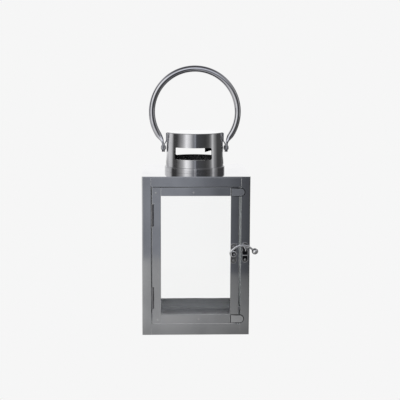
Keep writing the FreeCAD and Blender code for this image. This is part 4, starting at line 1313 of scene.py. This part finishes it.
@dataclass
class Bail:
    """Ring bail with pressed ends, its ears and rivets, in millimetres and degrees."""

    pivot_z: float = 188.6
    centre_z: float = 226.3
    radius: float = 45.2
    tube: float = 3.3
    tab_x: float = 33.8
    tab_half: float = 1.0
    width_half: float = 4.6
    neck_angle: float = 36.0
    flat_rise: float = 4.6
    neck_pull: tuple[float, float] = (7.0, 6.0)
    press_run: tuple[float, float] = (7.4, 12.5)
    thinned: tuple[float, float] = (4.45, 0.15)
    ear_top: float = 204.5
    ear_near: float = 29.9
    ear_far: float = 32.1
    ear_thick_half: float = 0.59
    ear_corner: float = 0.22
    joggle_rise: float = 8.6
    joggle_run: float = 5.6
    rivet_head: float = 2.6
    rivet_dome: float = 1.1
    rivet_radius: float = 1.5
    rivet_shank: tuple[float, float] = (31.5, 34.9)

    def closing(self, z: Array) -> Array:
        """Half width that ends a strip in a half circle below the pivot."""
        drop = np.maximum(self.pivot_z - z, 0)
        return np.sqrt(np.maximum(self.width_half ** 2 - drop ** 2, 0.02))

    def ring(self) -> None:
        """Round tube on a circle whose two ends are pressed to flat tabs.

        The path is a half tab, a cubic neck and an arc up to the top, mirrored; the section goes from
        the tube's circle to a flat rounded strip, and its width closes as a half circle at the end.
        """
        rise = 1 - np.cos(np.linspace(0, QUARTER, 26))
        tab = points(self.tab_x, 0.0, self.pivot_z - self.width_half + (self.width_half + self.flat_rise) * rise)
        angle = math.radians(self.neck_angle)
        arc = upright((0, self.centre_z) + self.radius * circle(np.linspace(-angle, QUARTER, 90)), 0.0)
        way = np.array([math.sin(angle), 0, math.cos(angle)])
        first, second = self.neck_pull
        neck = blend_line(tab[-1], np.array([0, 0, first]), arc[0], way * second, 16)
        half = np.vstack([tab, neck[1:], arc[1:]])
        start, length = self.press_run
        press = 1 - ease((distances(half) - start) / length)
        thick = self.tube + press * (self.tab_half - self.tube)
        wide = np.minimum(self.tube + ease(press) * (self.width_half - self.tube), self.closing(half[:, 2]))
        corner = np.minimum(thick, wide) * (0.995 - 0.35 * press)
        drop, less = self.thinned
        thick = thick - less * (half[:, 2] < self.pivot_z - drop)
        path = np.vstack([half, half[-2::-1] * (-1, 1, 1)])
        sizes = (np.append(v, v[-2::-1]) for v in (thick, wide, corner))
        Piece("bail_hoop", Body.BAIL, Slot.POLISHED, TUBE, "bail_ring").add(
            swept(path, (0, 1, 0), *sizes, 7)).build(50.0)

    def ear(self, side: Side) -> None:
        """Strip down the chimney, joggled outwards by an eased step and ended in a half circle.

        Args:
            side: left or right.
        """
        z = np.append(np.linspace(self.ear_top, self.pivot_z, 40)[:-1],
                      self.pivot_z - self.width_half * np.sin(np.linspace(0, QUARTER, 20)))
        share = ease((self.pivot_z + self.joggle_rise - z) / self.joggle_run)
        x = self.ear_near + (self.ear_far - self.ear_near) * share
        wide = self.closing(z)
        Piece(f"ear_{side}", Body.CASE, Slot.POLISHED, POLISHED, f"bail_ear_{side}").add(
            swept(points(side.sign * x, 0.0, z), (0, 1, 0), self.ear_thick_half, wide,
                  np.minimum(self.ear_corner, wide * 0.9), 4)).build(40.0)

    def rivet(self, side: Side) -> None:
        """Rivet through ear and tab: a shank with a domed head at each end, turned about X.

        Args:
            side: left or right.
        """
        inner, outer = self.rivet_shank
        shape = np.vstack([dome(self.rivet_head, inner - 0.05, inner - self.rivet_dome)[::-1],
                           [(self.rivet_radius, inner), (self.rivet_radius, outer)],
                           dome(self.rivet_head, outer + 0.02, outer + self.rivet_dome)])
        Piece(f"ear_rivet_{side}", Body.CASE, Slot.POLISHED, CAST, f"bail_rivet_{side}").add(
            turned(shape, (0, 0, self.pivot_z), (side.sign, 0, 0), 36)).build(50.0)

    def build(self) -> None:
        """Build the hoop and what it hangs on."""
        self.ring()
        for side in (Side.LEFT, Side.RIGHT):
            self.ear(side)
            self.rivet(side)


# ---------------------------------------------------------------- studio


@dataclass
class Studio:
    """Pale floor, soft surround and the photograph's camera, in metres and degrees."""

    white: float = 0.922
    azimuth: float = -2.062
    pitch: float = 8.671
    roll: float = 0.241
    distance: float = 1.105033
    target: tuple[float, float, float] = (0.005812, 0.0, 0.132361)
    lens: float = 93.227
    # Outline of the floor, whose near edge steps back on the right.
    outline: tuple[tuple[float, float], ...] = (
        (-1.4, -0.434), (-0.04, -0.434), (0.045, -0.33), (1.4, -0.33), (1.4, 1.6), (-1.4, 1.6))
    # Brightness round the lantern near the horizon, by azimuth from the front, left side negative.
    round_about: tuple[tuple[float, float], ...] = (
        (-180, 1.13), (-120, 1.12), (-108, 0.95), (-101, 0.38), (-96, 0.09), (-78, 0.10), (-66, 0.34), (-52, 0.70),
        (-43, 1.2), (-36, 1.75), (-28, 1.5), (-19, 1.0), (-10.5, 0.50), (-4.8, 0.34), (-3.6, 0.40), (0, 0.55),
        (1.8, 0.50), (3.4, 0.20), (5, 0.132), (14, 0.12), (42, 0.09), (58, 0.16), (68, 0.42), (73.5, 0.98),
        (77, 0.98), (83, 0.5), (93, 0.28), (101, 0.11), (140, 0.10), (152, 0.4), (160, 1.1), (180, 1.13))
    # The same some 15 degrees above the horizon.
    above_it: tuple[tuple[float, float], ...] = (
        (-180, 1.13), (-120, 1.0), (-104, 0.12), (-72, 0.10), (-58, 0.5), (-36, 1.9), (-10, 1.4), (12, 1.3),
        (35, 0.4), (60, 0.25), (78, 0.7), (95, 0.25), (140, 0.2), (155, 1.0), (180, 1.13))
    # Heights of a direction, as sines, between which one band, the top and what lies below take over.
    upper_band: tuple[float, float] = (0.13, 0.32)
    overhead: tuple[float, float] = (0.35, 0.7)
    zenith: tuple[float, float] = (0.6, 0.95)
    below: tuple[float, float] = (-0.7, 0.0)
    below_dim: float = 0.45
    top_low: Colour = (0.25, 0.25, 0.26)
    top_high: Colour = (0.06, 0.06, 0.065)
    # Distances in front of the axis, in metres, over which the floor's painted contact shadow fades out in
    # reflections.
    front_floor: tuple[float, float] = (0.06, 0.115)
    # Brightness of the floor in reflections, from left to right in metres.
    ground: tuple[tuple[float, float], ...] = (
        (-0.25, 0.80), (-0.07, 0.68), (-0.05, 0.60), (-0.03, 0.62), (0.02, 0.48), (0.08, 0.26), (0.3, 0.2))

    def tint(self, azimuth: float) -> Colour:
        """Cool cast of the studio's dim front, neutral elsewhere."""
        share = max(0.0, 1 - abs(azimuth - 4) / 26)
        return (1 - 0.07 * share, 1 - 0.03 * share, 1 + 0.08 * share)

    def surround(self) -> None:
        """World: plain white to the camera, a graded studio to everything else."""
        world = bpy.data.worlds.new("studio")
        bpy.context.scene.world = world
        tree = Tree(world)
        x, y, z = tree.parts("Generated")
        turn = x.arctan2(-y) / TAU + 0.5
        bands = []
        for band in (self.round_about, self.above_it):
            stops = [((a + 180) / 360, tuple(v / 2 * t for t in self.tint(a))) for a, v in band]
            bands.append(tree.node("ShaderNodeValToRGB", {"stops": stops}, {"Fac": turn}))
        level = tree.mix(z.between(*self.upper_band), *bands)
        top = tree.mix(z.between(*self.zenith), self.top_low, self.top_high)
        graded = tree.mix(z.between(*self.overhead), level, top)
        camera = tree.node("ShaderNodeLightPath", output="Is Camera Ray")
        colour = tree.mix(camera, graded, (self.white / 2,) * 3)
        strength = 2.0 * (1 - (1 - camera) * self.below_dim * (1 - z.between(*self.below)))
        tree.surface(tree.node("ShaderNodeBackground", None, {"Color": colour, "Strength": strength}), "World")

    def floor(self) -> None:
        """Pale floor: even white to the camera, graded from left to right in reflections, with a painted shadow near
        the lantern.
        """
        mesh = bpy.data.meshes.new("floor")
        mesh.from_pydata([(*spot, 0) for spot in self.outline], [], [list(range(len(self.outline)))])
        paint = bpy.data.materials.new("pale_floor")
        tree = Tree(paint)
        x, y, _ = tree.parts()
        first, last = self.ground[0][0], self.ground[-1][0]
        stops = [((a - first) / (last - first), (v,) * 3) for a, v in self.ground]
        tone = tree.node("ShaderNodeValToRGB", {"stops": stops}, {"Fac": (x - first) / (last - first)})
        camera = tree.node("ShaderNodeLightPath", output="Is Camera Ray")
        even = tree.node("ShaderNodeEmission", None, {"Color": (1, 1, 1), "Strength": self.white})
        # Painted contact shadow: the floor is dimmer in reflections near the lantern.
        shade = 0.8 + 0.2 * (-y).between(*self.front_floor)
        graded = tree.node("ShaderNodeEmission", None, {"Color": tone, "Strength": shade})
        tree.surface(tree.node("ShaderNodeMixShader", None, {0: camera, 1: graded, 2: even}))
        mesh.materials.append(paint)
        made = linked("floor", mesh)

    def camera(self) -> None:
        """Camera where the photograph was taken from: turned round, tipped down and rolled a little."""
        a, p, r = (math.radians(v) for v in (self.azimuth, self.pitch, self.roll))
        back = Vector((math.sin(a) * math.cos(p), -math.cos(a) * math.cos(p), math.sin(p)))
        right = Vector((0, 0, 1)).cross(back).normalized()
        up = back.cross(right)
        across = right * math.cos(r) + up * math.sin(r)
        above = up * math.cos(r) - right * math.sin(r)
        data = bpy.data.cameras.new("camera")
        data.sensor_width, data.lens = 36.0, self.lens
        data.clip_start, data.clip_end = 0.01, 20.0
        made = linked("camera", data)
        turn = Matrix((across, above, back)).transposed().to_4x4()
        made.matrix_world = Matrix.Translation(Vector(self.target) + back * self.distance) @ turn
        bpy.context.scene.camera = made

    def build(self) -> None:
        """Set up the view, the surround and the floor."""
        bpy.context.scene.view_settings.view_transform = "Standard"
        self.camera()
        self.surround()
        self.floor()


def main() -> None:
    """Build every sub-assembly in order."""
    logging.basicConfig(level=logging.INFO, format="%(name)s %(message)s")
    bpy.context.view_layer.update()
    door = Door()
    lower, upper = door.hinges
    for part in (Studio(), Case(), door, Hinge("upper", upper), Hinge("lower", lower), Latch(), Chimney(), Bail()):
        part.build()


if __name__ == "__main__":
    main()
